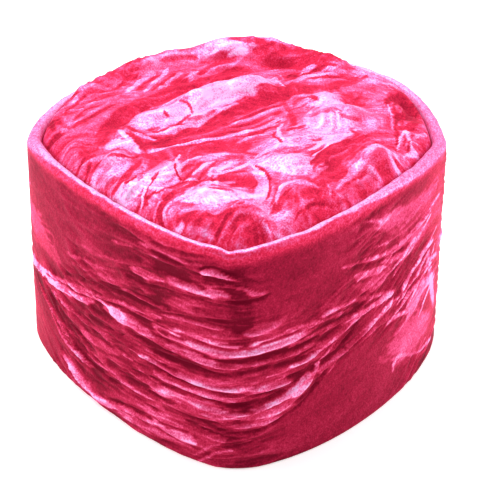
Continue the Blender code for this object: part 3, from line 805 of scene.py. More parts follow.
# %% Chart of the crown's folds
CROWN_RISE = 0.0120
# As on the band, crests mostly carry a high lie, a painted highlight, and creases, valleys and the pocket at
# the far right a low one, a painted shade.
CROWN_FOLDS = read_chart("""
rolls and patches along the back edge
-.66 .56  .04 .86  .68 .54  .17 .5 .62
-.26 .77  .07 .84  .32 .76  .15 .36 .84
.28 .78  .44 .75  .6 .66  .1 0 .34
-.85 .24  -.7 .47  -.42 .7  .12 .4 .46
-.46 .66  -.34 .74  -.2 .78  .07 0 .6
-.12 .82  .06 .86  .22 .82  .08 0 .92
.62 .64  .72 .56  .82 .42  .1 .1 .84
-.24 .56  0 .655  .4 .7  .06 -.16 .27
-.4 .42  -.24 .49  0 .615  .05 -.12 .27
long ridges, valleys and the great plateau
-.72 -.1  -.61 .07  -.4 .31  .05 .13 .6 -.2
-.56 -.08  -.45 .2  -.14 .4  .07 -.18 .29 .2
-.3 .37  -.14 .46  .06 .575  .05 -.14 .28
-.51 .005  -.38 .065  -.2 .12  .085 .23 .84
-.32 .13  -.08 .32  .22 .46  .125 .46 .95 -.1
-.16 .22  .02 .36  .2 .43  .06 0 1.02
-.44 -.05  -.28 -.09  -.06 -.02  .05 -.1 .24
-.26 -.05  .02 .145  .36 .405  .062 -.18 .27 .2
-.44 -.2  -.22 -.2  0 -.24  .07 -.06 .34
-.04 -.22  .04 -.26  .1 -.3  .06 -.05 .32
sheets and plateaus at the right
.3 -.04  .46 -.01  .62 -.04  .085 .16 .9
.34 .06  .5 .08  .66 .1  .125 .4 .88
.36 .2  .44 .28  .5 .34  .09 .2 .93
.6 .02  .68 .06  .74 .08  .08 .12 .76
.55 .18  .6 .24  .66 .36  .06 -.1 .38
.7 .22  .74 .32  .74 .42  .05 .06 .7
.08 -.24  .26 -.17  .44 -.1  .085 .12 .86
.08 -.33  .22 -.38  .36 -.36  .11 .24 .9
.18 -.42  .26 -.44  .34 -.42  .05 .05 .84
bent valleys, and domes and puffs near the front
.6 -.12  .53 -.2  .42 -.35  .064 -.15 .27 .1
.48 -.3  .42 -.42  .41 -.52  .06 -.13 .34
-.08 -.52  0 -.545  .07 -.52  .055 -.1 .38
-.22 -.655  -.08 -.645  .04 -.665  .06 .15 1 .2
.04 -.71  .12 -.72  .2 -.74  .065 .12 .84
-.22 -.74  -.16 -.8  -.09 -.88  .085 .16 .37
-.05 -.9  .04 -.755  .13 -.9  .075 .26 .4
0 -.82  .03 -.86  .04 -.92  .05 0 .34
.32 -.74  .38 -.67  .47 -.62  .07 -.1 .24
.44 -.56  .52 -.5  .58 -.46  .05 .04 .42
puffs and hollows at the sides
.52 -.44  .62 -.32  .72 -.36  .11 .34 .56
.8 .34  .87 .24  .88 .1  .075 -.4 .12
-.58 -.4  -.53 -.34  -.47 -.31  .09 .24 .84
-.62 -.5  -.58 -.46  -.54 -.42  .055 .05 .66
-.51 -.6  -.47 -.56  -.43 -.5  .07 .2 .96
-.33 -.54  -.3 -.46  -.26 -.37  .082 .22 .9
-.76 -.1  -.74 -.2  -.74 -.28  .06 .1 .44
patches of brushed pile, from the left bank to the back
-.814 .14  -.717 .327  -.579 .489  .074 0 .52
-.531 .544  -.358 .67  -.143 .754  .0689 0 .62
-.226 .748  -.088 .778  .044 .79  .0797 0 .8
-.012 .772  .085 .778  .182 .754  .1123 0 .86
-.039 .73  .044 .742  .127 .754  .0542 0 .66
patches of the left ridge, the valleys and the plateau
-.724 -.16  -.655 -.022  -.579 .134  .044 .05 .62
-.835 -.203  -.773 -.179  -.717 -.124  .0712 0 .5
-.634 -.251  -.558 .056  -.406 .267  .0493 0 .37
-.434 .243  -.24 .423  .016 .586  .0568 0 .36
-.032 .61  .113 .718  .251 .724  .0778 0 .36
.203 .724  .341 .688  .48 .604  .0717 0 .35
.161 .7  .238 .706  .362 .646  .0448 -.08 .34
-.517 -.022  -.378 .02  -.226 .092  .0929 .1 .9
-.378 .038  -.205 .164  .016 .309  .1357 .1 .93
-.032 .285  .044 .345  .196 .52  .1164 .1 .94
-.178 .158  -.081 .249  .016 .333  .0603 0 1.02
-.261 -.142  -.115 -.004  .016 .158  .0599 0 .34
-.032 .116  .106 .249  .258 .351  .0505 0 .34
.106 .303  .258 .387  .452 .423  .0513 0 .33
.418 .417  .535 .453  .674 .532  .0444 0 .36
patches of the red field and the right sheets
-.358 -.347  -.205 -.275  -.025 -.191  .08 0 .38
-.441 -.227  -.351 -.203  -.261 -.154  .053 0 .28
-.095 -.275  -.025 -.239  .051 -.173  .0635 0 .44
.314 -.07  .445 -.01  .556 -.064  .1333 0 .9
.258 -.191  .411 -.142  .556 -.094  .0743 0 .88
.383 .164  .466 .231  .514 .08  .1039 0 .9
.563 .014  .639 .02  .708 -.004  .1105 0 .74
.362 -.04  .445 -.028  .521 -.058  .0603 0 .88
.535 .327  .577 .273  .611 .152  .0373 0 .42
.66 .381  .694 .339  .722 .285  .0634 0 .64
.743 .502  .812 .502  .867 .435  .08 0 .8
.12 -.335  .217 -.401  .328 -.365  .104 0 .9
.044 -.239  .106 -.251  .196 -.269  .0649 0 .72
patches of the bent valley, the ring and the front
.404 -.419  .507 -.251  .625 -.179  .0636 0 .37
.341 -.413  .452 -.227  .577 -.124  .0273 0 .32
.549 -.136  .639 -.179  .715 -.197  .044 0 .46
.293 -.6  .362 -.552  .438 -.407  .048 0 .4
-.101 -.558  -.046 -.51  .03 -.528  .0629 0 .38
-.025 -.684  .037 -.678  .092 -.756  .0477 0 .84
.03 -.78  .099 -.78  .168 -.762  .0527 0 .9
.279 -.66  .362 -.642  .466 -.606  .1047 0 .38
.148 -.78  .189 -.696  .217 -.606  .0191 0 .36
.591 -.419  .625 -.431  .597 -.491  .0479 0 .44
.48 -.546  .542 -.473  .591 -.407  .0426 0 .56
-.005 -.895  .037 -.865  .092 -.883  .1089 0 .42
-.185 -.81  -.081 -.81  .016 -.81  .1044 0 .38
-.212 -.666  -.108 -.672  .016 -.762  .0508 .05 .98
-.233 -.708  -.129 -.744  .009 -.78  .034 0 .84
patches at the left and in the middle
-.607 -.341  -.531 -.401  -.448 -.437  .0749 0 .82
-.614 -.455  -.565 -.504  -.517 -.54  .0416 0 .62
-.517 -.582  -.461 -.588  -.427 -.576  .0573 0 .94
-.399 -.576  -.33 -.491  -.261 -.371  .0673 0 .92
-.358 -.666  -.33 -.612  -.295 -.534  .0341 0 .84
-.586 -.245  -.517 -.203  -.434 -.287  .0523 0 .96
-.164 -.353  -.095 -.323  -.039 -.299  .0394 0 .86
-.095 -.473  -.046 -.407  .016 -.353  .0369 0 .8
-.828 -.239  -.787 -.221  -.724 -.203  .0867 0 .48
-.71 -.221  -.676 -.239  -.641 -.317  .0368 0 .36
-.531 -.546  -.482 -.497  -.434 -.359  .0225 0 .34
-.441 -.317  -.364 -.323  -.268 -.311  .0428 0 .36
short folds at the back left
-.565 .327  -.503 .477  -.441 .574  .0197 .03 .88
-.482 .327  -.42 .483  -.364 .628  .0147 .02 .86
-.399 .357  -.344 .508  -.281 .598  .0159 .02 .82
-.344 .453  -.275 .538  -.191 .634  .0201 .03 .8
-.247 .502  -.129 .64  .002 .712  .0232 .03 .7
-.51 .58  -.371 .694  -.198 .748  .0335 .05 .72
-.6 .435  -.537 .514  -.468 .574  .0174 .03 .7
-.129 .736  -.067 .766  .002 .79  .0294 .04 .92
-.614 .381  -.572 .465  -.524 .538  .0175 -.03 .32
-.517 .339  -.461 .477  -.413 .556  .0128 -.02 .33
-.434 .345  -.371 .483  -.323 .58  .0125 -.02 .34
-.344 .459  -.295 .514  -.24 .592  .0136 -.02 .34
-.185 .7  -.074 .73  .016 .748  .0304 -.05 .36
-.406 .646  -.302 .694  -.198 .724  .0205 -.03 .42
short folds along the left bank
-.89 .207  -.828 .207  -.794 .291  .0141 .02 .76
-.794 .291  -.745 .351  -.621 .381  .0168 .03 .74
-.766 -.016  -.717 .086  -.627 .243  .0102 .02 .74
-.759 .086  -.71 .219  -.621 .285  .0109 .02 .68
-.787 .213  -.738 .285  -.634 .339  .0113 .02 .66
-.863 .267  -.828 .297  -.794 .315  .0119 .02 .66
-.773 -.058  -.717 .038  -.6 .213  .0133 -.02 .22
-.78 .014  -.738 .116  -.676 .201  .0081 -.01 .26
-.828 .086  -.787 .219  -.745 .291  .009 -.02 .3
-.856 .273  -.821 .291  -.787 .303  .0155 -.03 .28
-.89 .195  -.835 .05  -.78 .014  .0079 .01 .66
-.877 .062  -.821 -.016  -.773 -.058  .0112 -.02 .3
edges and lines of the left corner
-.918 .098  -.897 .05  -.856 -.034  .0161 -.03 .14
-.849 -.094  -.828 -.082  -.814 -.058  .0122 .02 .86
-.897 -.112  -.856 -.088  -.814 -.082  .0274 -.05 .26
-.648 -.281  -.6 -.124  -.544 .086  .0071 -.01 .28
-.731 -.353  -.697 -.335  -.683 -.281  .0097 -.02 .22
-.71 -.377  -.676 -.359  -.655 -.317  .0115 .02 .62
-.676 -.413  -.655 -.383  -.655 -.329  .0076 -.01 .18
-.648 -.425  -.634 -.377  -.607 -.341  .0079 -.01 .3
-.641 -.425  -.627 -.467  -.586 -.516  .0075 .01 .76
-.565 -.504  -.551 -.534  -.544 -.552  .0048 -.01 .34
-.461 -.552  -.448 -.522  -.427 -.479  .012 -.02 .14
-.427 -.582  -.399 -.522  -.371 -.455  .0104 .02 .96
-.371 -.666  -.378 -.588  -.351 -.516  .0064 -.01 .3
-.406 -.678  -.385 -.654  -.371 -.624  .0081 -.01 .28
hooks and nicks at the plateau's left end
-.551 -.07  -.489 -.173  -.434 -.275  .0142 .02 1
-.503 -.1  -.448 -.173  -.413 -.269  .015 -.03 .3
-.572 -.341  -.496 -.347  -.406 -.299  .0126 -.02 .36
-.275 .171  -.233 .122  -.219 .062  .0084 -.01 .3
-.219 .062  -.247 .038  -.288 -.034  .008 -.01 .36
-.344 .056  -.33 .038  -.316 .032  .0089 -.02 .38
-.378 .068  -.316 .177  -.226 .171  .0199 .03 .74
the lower lip of the plateau
-.517 -.034  -.434 -.118  -.364 -.16  .0109 -.02 .24
-.482 -.088  -.413 -.148  -.351 -.173  .0119 .02 .84
-.413 -.124  -.309 -.076  -.198 .02  .0241 .04 .9
-.371 -.173  -.281 -.136  -.178 .014  .0123 -.02 .26
-.219 -.016  -.101 .104  .016 .219  .0146 .02 .84
-.198 -.034  -.081 .104  .044 .219  .0143 -.02 .26
-.399 -.299  -.281 -.221  -.143 -.166  .0131 .02 .86
-.164 -.166  -.074 -.142  .016 -.1  .014 .02 .88
-.261 -.179  -.143 -.136  -.005 -.07  .017 -.03 .3
swirls at the front left
-.254 -.51  -.268 -.437  -.247 -.311  .0067 .01 1
-.254 -.479  -.212 -.371  -.157 -.323  .0099 .01 .94
-.198 -.504  -.15 -.413  -.101 -.365  .0121 .02 .98
-.101 -.528  -.067 -.461  -.005 -.371  .0087 .01 .96
-.24 -.485  -.212 -.425  -.171 -.389  .0124 -.02 .32
-.157 -.504  -.129 -.443  -.101 -.407  .0086 -.01 .3
-.185 -.552  -.136 -.467  -.088 -.359  .0082 -.01 .34
-.088 -.546  -.06 -.485  .009 -.437  .0128 -.02 .36
-.427 -.66  -.323 -.6  -.205 -.54  .013 -.02 .26
-.323 -.6  -.24 -.54  -.171 -.534  .0137 .02 .92
the fan and curls below the swirls
-.233 -.612  -.15 -.558  -.025 -.576  .0164 .02 .94
-.337 -.72  -.295 -.66  -.205 -.612  .0107 -.02 .24
-.15 -.66  -.053 -.654  .03 -.648  .0122 .02 .96
-.323 -.756  -.337 -.696  -.295 -.66  .0059 .01 .78
-.302 -.768  -.316 -.714  -.275 -.684  .0095 -.02 .14
-.281 -.774  -.295 -.714  -.24 -.672  .0078 .01 .82
-.268 -.762  -.261 -.726  -.226 -.708  .0165 .02 .84
-.247 -.792  -.226 -.81  -.219 -.792  .0172 .03 1
-.191 -.828  -.143 -.859  -.081 -.901  .0113 .02 .68
lines on the front dome
-.081 -.895  -.06 -.853  -.012 -.804  .0094 -.02 .16
-.143 -.822  -.101 -.798  -.039 -.804  .0104 -.02 .26
-.185 -.792  -.122 -.774  -.06 -.75  .0085 .01 .66
-.067 -.907  -.046 -.871  -.005 -.828  .0071 .01 .6
-.039 -.919  -.025 -.889  .002 -.859  .0055 -.01 .28
the peak at the back and its edge
-.025 .814  .085 .82  .182 .79  .0262 -.04 .4
.168 .784  .245 .766  .369 .73  .0311 -.05 .36
.016 .748  .085 .754  .141 .766  .0203 .03 .52
-.039 .754  .016 .766  .072 .766  .019 .03 .98
.21 .526  .231 .453  .258 .423  .0098 .01 .92
streaks at the back right
.265 .514  .362 .616  .424 .622  .0177 .03 .84
.272 .447  .383 .544  .542 .538  .0243 .04 .88
.424 .58  .494 .616  .556 .64  .0184 .03 .74
.445 .616  .521 .586  .597 .568  .0203 .03 .76
.355 .471  .473 .508  .577 .495  .0185 .03 .74
.279 .483  .376 .586  .459 .592  .0133 -.02 .22
.369 .502  .473 .532  .57 .526  .0143 -.02 .28
.404 .598  .466 .616  .535 .616  .0163 -.03 .28
.258 .538  .293 .556  .334 .598  .0177 -.03 .18
arcs on the right plateau
.258 .249  .328 .327  .39 .267  .0173 .03 .8
.279 .207  .341 .285  .397 .225  .0131 -.02 .34
.293 .177  .348 .243  .39 .201  .0126 .02 .74
.258 .321  .321 .363  .383 .339  .0135 -.02 .32
stripes across the middle
-.025 -.022  .092 .08  .251 .195  .0155 .02 .78
-.032 -.052  .099 .032  .21 .122  .0157 -.03 .24
.016 -.106  .099 -.04  .21 .068  .0159 .02 .86
-.032 -.094  .078 -.046  .175 .044  .0108 -.02 .3
.127 -.04  .182 .002  .231 .056  .0131 .02 .9
.037 -.112  .127 -.07  .203 .02  .0118 -.02 .24
.078 -.13  .134 -.106  .189 -.058  .0153 .02 .76
-.005 -.136  .072 -.124  .134 -.076  .0147 -.02 .26
-.005 .05  .12 .146  .238 .237  .0119 .02 .6
-.018 .014  .099 .116  .245 .219  .0118 -.02 .24
wavering lines in front of the stripes
.224 .002  .203 -.076  .217 -.203  .0061 .01 1
.238 -.076  .279 -.046  .334 -.028  .0186 -.03 .3
.231 -.148  .279 -.118  .314 -.07  .0115 .02 .74
.189 -.076  .182 -.124  .196 -.203  .0057 -.01 .28
lines, creases and ridges of the right sheets
.341 .056  .404 .05  .466 .014  .012 .02 .52
.48 .02  .542 .008  .591 .026  .0121 .02 .58
.355 .074  .424 .062  .494 .038  .0123 .02 .6
.3 -.245  .334 -.227  .362 -.197  .0076 -.01 .4
.328 -.335  .362 -.269  .411 -.221  .0065 -.01 .34
.341 -.173  .376 -.173  .397 -.154  .0095 -.02 .42
.314 -.269  .348 -.245  .39 -.197  .0093 .01 1.02
.341 -.317  .397 -.245  .445 -.166  .0089 .01 1.02
.521 -.118  .556 -.076  .57 -.064  .0089 .01 1
.535 -.064  .577 -.106  .625 -.142  .0115 -.02 .36
edges of the bent valley
.328 -.413  .404 -.251  .521 -.148  .0091 -.02 .22
.341 -.443  .39 -.341  .466 -.221  .0085 -.01 .36
.501 -.365  .535 -.311  .597 -.209  .0128 -.02 .2
.418 -.341  .452 -.281  .501 -.227  .0076 .01 .54
bands on the right puff
.597 -.13  .667 -.16  .722 -.173  .0156 .02 .6
.611 -.227  .674 -.209  .708 -.221  .011 .02 .54
the pocket at the far right
.764 .225  .854 .345  .909 .333  .0583 -.08 .16
.764 .134  .819 .098  .902 .273  .0551 -.1 .14
.77 -.022  .819 -.028  .881 .098  .0289 0 .3
.757 .219  .743 .08  .743 -.052  .0059 .01 .92
.736 .189  .722 .05  .729 -.04  .0039 .01 .6
.791 .231  .764 .056  .75 -.112  .0072 -.01 .16
.777 -.034  .798 .068  .812 .128  .0048 -.01 .36
.819 -.028  .854 .086  .902 .273  .0049 -.01 .3
.909 .201  .895 .032  .84 -.094  .0095 .01 .62
.93 .243  .937 .146  .937 .062  .0097 .01 .52
.77 .315  .854 .429  .895 .363  .0194 -.03 .46
.847 .453  .874 .405  .902 .339  .0118 .02 .5
.736 -.094  .75 -.13  .736 -.179  .0078 -.01 .03
small curls in front of the pocket
.743 -.239  .764 -.13  .798 -.052  .0071 .01 1
.798 -.052  .812 -.124  .833 -.197  .0107 .02 .97
.833 -.112  .874 -.07  .916 -.004  .0096 .01 .88
.77 -.257  .826 -.191  .86 -.179  .015 .02 .92
.708 -.263  .729 -.293  .75 -.311  .0149 .02 .94
.777 -.179  .791 -.136  .791 -.112  .0065 -.01 .22
.798 -.209  .812 -.166  .812 -.13  .0055 -.01 .26
.854 -.136  .874 -.13  .902 -.088  .0129 -.02 .4
.729 -.203  .729 -.227  .736 -.257  .0052 -.01 .3
the ring near the front
.065 -.443  .106 -.534  .065 -.726  .0236 0 .9
.072 -.413  .134 -.497  .113 -.636  .0167 0 .97
.113 -.618  .106 -.69  .072 -.762  .0127 .02 .9
.092 -.413  .148 -.522  .113 -.714  .0061 -.01 .14
.085 -.407  .113 -.431  .134 -.467  .007 -.01 .18
-.018 -.473  .03 -.455  .065 -.455  .0119 -.02 .34
.037 -.606  .072 -.582  .085 -.54  .0062 -.01 .3
.168 -.54  .182 -.612  .141 -.738  .0137 -.02 .36
lines of the front puff
-.018 -.847  .03 -.798  .078 -.835  .0131 .02 .66
-.018 -.865  .03 -.816  .078 -.847  .0077 -.01 .32
-.012 -.895  .03 -.847  .072 -.865  .008 .01 .54
.072 -.847  .078 -.889  .078 -.919  .0122 -.02 .18
.099 -.835  .134 -.853  .141 -.889  .0118 .02 .82
.092 -.847  .106 -.877  .113 -.901  .0066 -.01 .26
.148 -.828  .168 -.847  .196 -.847  .0113 .02 .72
the tongue beside it and its arcs
.168 -.726  .182 -.612  .231 -.54  .0089 .01 .88
.231 -.54  .286 -.528  .362 -.57  .0175 .03 .82
.175 -.738  .203 -.636  .251 -.576  .0066 -.01 .28
.21 -.786  .258 -.696  .334 -.636  .009 .01 .68
.231 -.786  .279 -.708  .341 -.654  .006 -.01 .3
.279 -.72  .334 -.66  .445 -.642  .0073 -.01 .06
.286 -.738  .341 -.672  .411 -.666  .0077 -.01 .46
.293 -.6  .362 -.6  .438 -.564  .0307 -.05 .38
the valley in front of the right puff
.328 -.504  .355 -.461  .418 -.371  .0089 .01 .72
.383 -.528  .404 -.57  .397 -.6  .0057 .01 .66
the right puff
.424 -.552  .507 -.437  .577 -.365  .0226 0 .84
.563 -.365  .646 -.221  .681 -.305  .0259 .04 .94
.681 -.287  .715 -.323  .757 -.329  .0188 .03 .92
.667 -.335  .687 -.353  .708 -.377  .0169 .03 .5
.57 -.395  .604 -.401  .639 -.425  .0138 .02 .72
.591 -.449  .625 -.449  .66 -.449  .013 .02 .62
.521 -.479  .556 -.437  .584 -.401  .0074 .01 .7
.431 -.576  .521 -.479  .57 -.413  .0075 -.01 .36
.708 -.293  .743 -.305  .77 -.305  .016 -.03 .26
the fork at the front left
-.129 -.516  -.233 -.612  -.316 -.702  .0145 -.02 .28
-.316 -.702  -.33 -.726  -.33 -.744  .008 -.01 .28
-.15 -.371  -.198 -.479  -.24 -.546  .0095 -.02 .3
-.261 -.419  -.261 -.491  -.233 -.546  .0049 -.01 .14
-.095 -.419  -.115 -.479  -.115 -.51  .0057 .01 .95
-.115 -.491  -.025 -.455  .072 -.377  .0113 .02 .95
-.136 -.588  -.081 -.558  .002 -.528  .0117 .02 .95
-.129 -.546  -.067 -.522  .009 -.467  .0208 -.04 .36
-.185 -.624  -.095 -.636  -.005 -.66  .0148 -.03 .4
-.254 -.672  -.178 -.642  -.095 -.648  .0121 .02 .94
-.378 -.636  -.371 -.558  -.337 -.485  .0091 -.02 .34
-.399 -.666  -.385 -.606  -.364 -.522  .0068 .01 .96
short lines in the middle
-.205 -.275  -.108 -.245  .016 -.299  .024 -.04 .4
.085 -.341  .155 -.257  .245 -.215  .0119 .02 .94
.155 -.124  .196 -.197  .21 -.221  .0081 -.01 .3
.196 -.028  .21 -.082  .203 -.197  .0076 .01 1
.009 -.124  .113 -.046  .196 -.004  .0128 .02 .88
.03 -.154  .12 -.076  .203 -.028  .0094 -.02 .26
-.005 -.197  .085 -.136  .155 -.1  .0126 .02 .82
.217 .321  .258 .11  .279 -.022  .0162 -.03 .4
""")
print(len(CROWN_FOLDS), "charted folds on the crown")

# %% [markdown]
# Between the charted folds the crown is crumpled too. Its small ridges run with the broad folds over the
# middle, and straight out from the seam near the edge, where the extra cloth is gathered. Their crests are
# painted lighter and their hollows darker, painted highlight and painted shade. The edge itself curves
# down to the seam: gently in front, more steeply behind, and most of all at the left and at the right,
# where the rolls stand close to the rim. Here a layer says how long and how wide its ridges are, in
# metres.

# %% Crumples of the crown
CROWN_GRAIN = math.radians(37.0)
CROWN_LIE = 0.56
CROWN_COVER = 0.9
CROWN_SINK = 0.0003
DARK_LIE = 0.36
CROWN_LAYERS = [
    Layer(0.030, 0.0085, 71, 0.00050, 0.14),
    Layer(0.015, 0.0042, 72, 0.00020, 0.13),
    Layer(0.008, 0.0022, 73, 0.00006, 0.07),
]


def crown_crumples(points, share):
    """Relief, in metres, and lie of the crown's random crumples, with their crests and the gathered spokes
    painted lighter and the hollows darker.
    """
    size = np.array([RIM_HALF_WIDTH, RIM_HALF_LENGTH])
    bend = crumple(points / 0.030, 61)
    turn = CROWN_GRAIN + 0.55 * bend
    along = points[:, 0] * np.cos(turn) + points[:, 1] * np.sin(turn)
    across = points[:, 1] * np.cos(turn) - points[:, 0] * np.sin(turn)
    across = across + crumple(points / 0.012, 62) * 0.0016
    crests = []
    for layer in CROWN_LAYERS:
        place = np.column_stack([along / layer.along, across / layer.across])
        crests.append(ridges(place, layer.seed) ** 2)
    relief, lie = add_layers(CROWN_LAYERS, crests, 0.35)
    degrees = np.degrees(np.arctan2(points[:, 1], points[:, 0])) % 360.0
    spokes = ridges(np.column_stack([degrees / 5.0, share * 3.0]), 74, 72)
    gather = smooth_step((share - 0.72) * 4.5)
    relief = (relief - CROWN_SINK) * (1.0 - 0.5 * gather) + 0.0008 * spokes**2 * gather
    lie = lie + 0.16 * gather * (spokes**2 - 0.35) + 0.12 * crumple(points / size / 0.12, 75)
    return relief, lie


def crown_surface(points, share):
    """Height, in metres, and lie of the pile for points of the crown."""
    size = np.array([RIM_HALF_WIDTH, RIM_HALF_LENGTH])
    drift = np.column_stack([crumple(points / 0.016, 81), crumple(points / 0.016, 82)]) * 0.0012
    drift = drift + np.column_stack([crumple(points / 0.006, 83), crumple(points / 0.006, 84)]) * 0.0005
    relief = np.zeros(len(points))
    lie = np.full(len(points), CROWN_LIE)
    for fold in CROWN_FOLDS:
        line = fold_line(*[np.array(place) * size for place in ends_of(fold)])
        half_width, rise = fold.half_width * RIM_HALF_WIDTH, fold.rise * CROWN_RISE
        press_fold(fold, (relief, lie), points + drift, line, half_width, rise, CROWN_COVER)
    rough_relief, rough_lie_and_light = crown_crumples(points, share)
    degrees = np.degrees(np.arctan2(points[:, 1], points[:, 0]))
    behind = smooth_step(np.sin(np.radians(degrees)) * 0.9 + 0.35)
    steep = np.maximum(0.65 * near_angle(degrees, 170.0, 15.0), 0.8 * near_angle(degrees, 14.0, 26.0))
    puff = (1.0 - np.clip(share, 0.0, 1.0) ** (8.0 + 3.0 * behind + 17.0 * steep)) ** 0.5
    free = smooth_step((1.0 - share) * (13.0 - 4.0 * behind + 6.0 * steep))
    height = BAND_HEIGHT - SEAM_DEPTH + CROWN_PUFF * puff + (relief + rough_relief) * free
    lie = lie + rough_lie_and_light
    return height, np.where(lie < DARK_LIE, DARK_LIE - (DARK_LIE - lie) * 0.55, lie)


print("crown rises to %.1f mm at its centre" % (crown_surface(np.zeros((1, 2)), np.zeros(1))[0][0] * 1000))

# %% [markdown]
# ## The crown's mesh
#
# Rings of points would crowd together at the crown's centre and spread out at its edge. So its top is a
# square net, stretched to fill the outline: every mesh of the net is then about the same size, which suits
# crumples that are fine everywhere. The edge turns down inside the band, and the underside, which nobody
# sees without lifting the cap, is a coarser net joined to the same edge.

# %% Build the crown
CROWN_NET = 272
UNDER_NET = 68
EDGE_ROWS = 4


def round_net(count):
    """Points of a square net pulled out to a disc: direction in radians and share of the way to its edge."""
    line = np.linspace(-1.0, 1.0, count + 1)
    across, along = np.meshgrid(line, line)
    across, along = across.ravel(), along.ravel()
    share = np.maximum(np.abs(across), np.abs(along))
    blend = share**2
    round_x = across * np.sqrt(np.maximum(1.0 - along**2 / 2.0, 0.0))
    round_y = along * np.sqrt(np.maximum(1.0 - across**2 / 2.0, 0.0))
    reach = np.hypot(round_x, round_y)
    return np.arctan2(round_y, round_x), reach + (share - reach) * blend


def seam_reach(angle, inset):
    """How far from the centre the crown's edge lies along each direction, that much inside the facing."""
    level = np.full(len(angle), BAND_HEIGHT - SEAM_DEPTH)
    reach = np.linalg.norm(band_outline(angle, level), axis=1)
    step = 0.01
    ahead = np.linalg.norm(band_outline(angle + step, level), axis=1)
    behind = np.linalg.norm(band_outline(angle - step, level), axis=1)
    slant = np.cos(np.arctan((ahead - behind) / (2.0 * step) / reach))
    return reach - (wall_inset(angle, level) + inset) / slant


def net_faces(count):
    """The four-sided faces of a square net."""
    index = np.arange((count + 1) ** 2).reshape(count + 1, count + 1)
    sides = [index[:-1, :-1], index[:-1, 1:], index[1:, 1:], index[1:, :-1]]
    return np.stack(sides, axis=-1).reshape(-1, 4)


def net_edge(count):
    """The points along the edge of a square net, in order, anticlockwise from above."""
    index = np.arange((count + 1) ** 2).reshape(count + 1, count + 1)
    return np.concatenate([index[0, :-1], index[:-1, -1], index[-1, :0:-1], index[:0:-1, 0]])


def crown_face(count, inset, drop):
    """The crown's upper or lower face as net points, with the lie of the pile."""
    angle, share = round_net(count)
    reach = seam_reach(angle, inset) * share
    flat = np.column_stack([reach * np.cos(angle), reach * np.sin(angle)])
    height, lie = crown_surface(flat, share)
    return np.column_stack([flat, height - drop * smooth_step((1.0 - share) * 12.0)]), lie, angle


def turned_edge(angle, inset):
    """The crown's edge, turned down inside the band, as one ring for each level."""
    rings = []
    for k in range(1, EDGE_ROWS + 1):
        level = np.full(len(angle), BAND_HEIGHT - SEAM_DEPTH - SEAM_ALLOWANCE * k / EDGE_ROWS)
        inside = (wall_inset(angle, level) + inset)[:, None]
        rings.append(np.column_stack([band_outline(angle, level) + inward(angle, level) * inside, level]))
    return rings


def wall_faces(loops, inward_facing):
    """Four-sided faces that join each loop of points to the one below it."""
    faces = []
    for upper, lower in zip(loops, loops[1:]):
        corners = [upper, lower, np.roll(lower, -1), np.roll(upper, -1)]
        faces += np.stack(corners[::-1] if inward_facing else corners, axis=-1).tolist()
    return faces


def make_crown():
    """The crown as one closed skin: a fine top, a turned-down edge and a coarser underside."""
    top, top_lie_and_light, top_angle = crown_face(CROWN_NET, CROWN_GAP, 0.0)
    under, _, under_angle = crown_face(UNDER_NET, CROWN_GAP + CROWN_CLOTH, CROWN_CLOTH)
    top_edge, under_edge = net_edge(CROWN_NET), net_edge(UNDER_NET)
    outer = turned_edge(top_angle[top_edge], CROWN_GAP)
    inner = turned_edge(under_angle[under_edge], CROWN_GAP + CROWN_CLOTH)
    points = [top, under] + outer + inner
    starts = np.cumsum([0] + [len(p) for p in points])
    faces = net_faces(CROWN_NET).tolist()
    faces += (net_faces(UNDER_NET)[:, ::-1] + starts[1]).tolist()
    outer_loops = [top_edge] + [starts[2 + k] + np.arange(len(top_edge)) for k in range(EDGE_ROWS)]
    inner_loops = [under_edge + starts[1]]
    inner_loops += [starts[2 + EDGE_ROWS + k] + np.arange(len(under_edge)) for k in range(EDGE_ROWS)]
    faces += wall_faces(outer_loops, False) + wall_faces(inner_loops, True)
    ratio = CROWN_NET // UNDER_NET
    fine, coarse = outer_loops[-1], inner_loops[-1]
    for k in range(len(coarse)):
        run = [fine[(k * ratio + j) % len(fine)] for j in range(ratio + 1)]
        faces.append([int(v) for v in [coarse[k]] + [coarse[(k + 1) % len(coarse)]] + run[::-1]])
    lie = np.full(starts[-1], DARK_LIE)
    lie[: len(top)] = top_lie_and_light
    # The whole crown takes the lit copy of the velvet's colours: painted light from above.
    marks = {"pile_lie": lie, "pile_glow": np.ones(len(lie))}
    return cloth_object("velvet_crown", np.concatenate(points), faces, marks)


crown = make_crown()
print("crown has", count_triangles(crown), "triangles")

# %% [markdown]
# ## Velvet
#
# Crushed velvet is one dye, yet it looks like many colours: where the pile leans towards the light it
# shines lilac, and where it leans away one looks down into it and sees deep crimson. A plain sheen shader
# gives the soft bright edges but not the patches. So the lie of the pile, kept on the mesh, picks the
# colour, and a sheen and a tinted gloss go over it. In the base colour the lilac shine is a painted
# highlight and the crimson a painted shade, and crests, creases and the sides carry more painted light
# and shade in the same lie. The maths of the shader is written as plain expressions by a small class that
# wraps a socket.

# %% A helper that writes shader maths
class Sock:
    """A socket that Python's operators turn into Math nodes."""

    def __init__(self, tree, socket):
        self.tree = tree
        self.socket = socket

    def math(self, operation, *values):
        return Sock(self.tree, self.tree.node("ShaderNodeMath", {"operation": operation}, values))

    def __add__(self, other):
        return self.math("ADD", self, other)

    __radd__ = __add__

    def __mul__(self, other):
        return self.math("MULTIPLY", self, other)

    def __sub__(self, other):
        return self.math("SUBTRACT", self, other)

    def __rsub__(self, other):
        return self.math("SUBTRACT", other, self)

    def clamp(self):
        return self.math("MINIMUM", self.math("MAXIMUM", self, 0.0), 1.0)


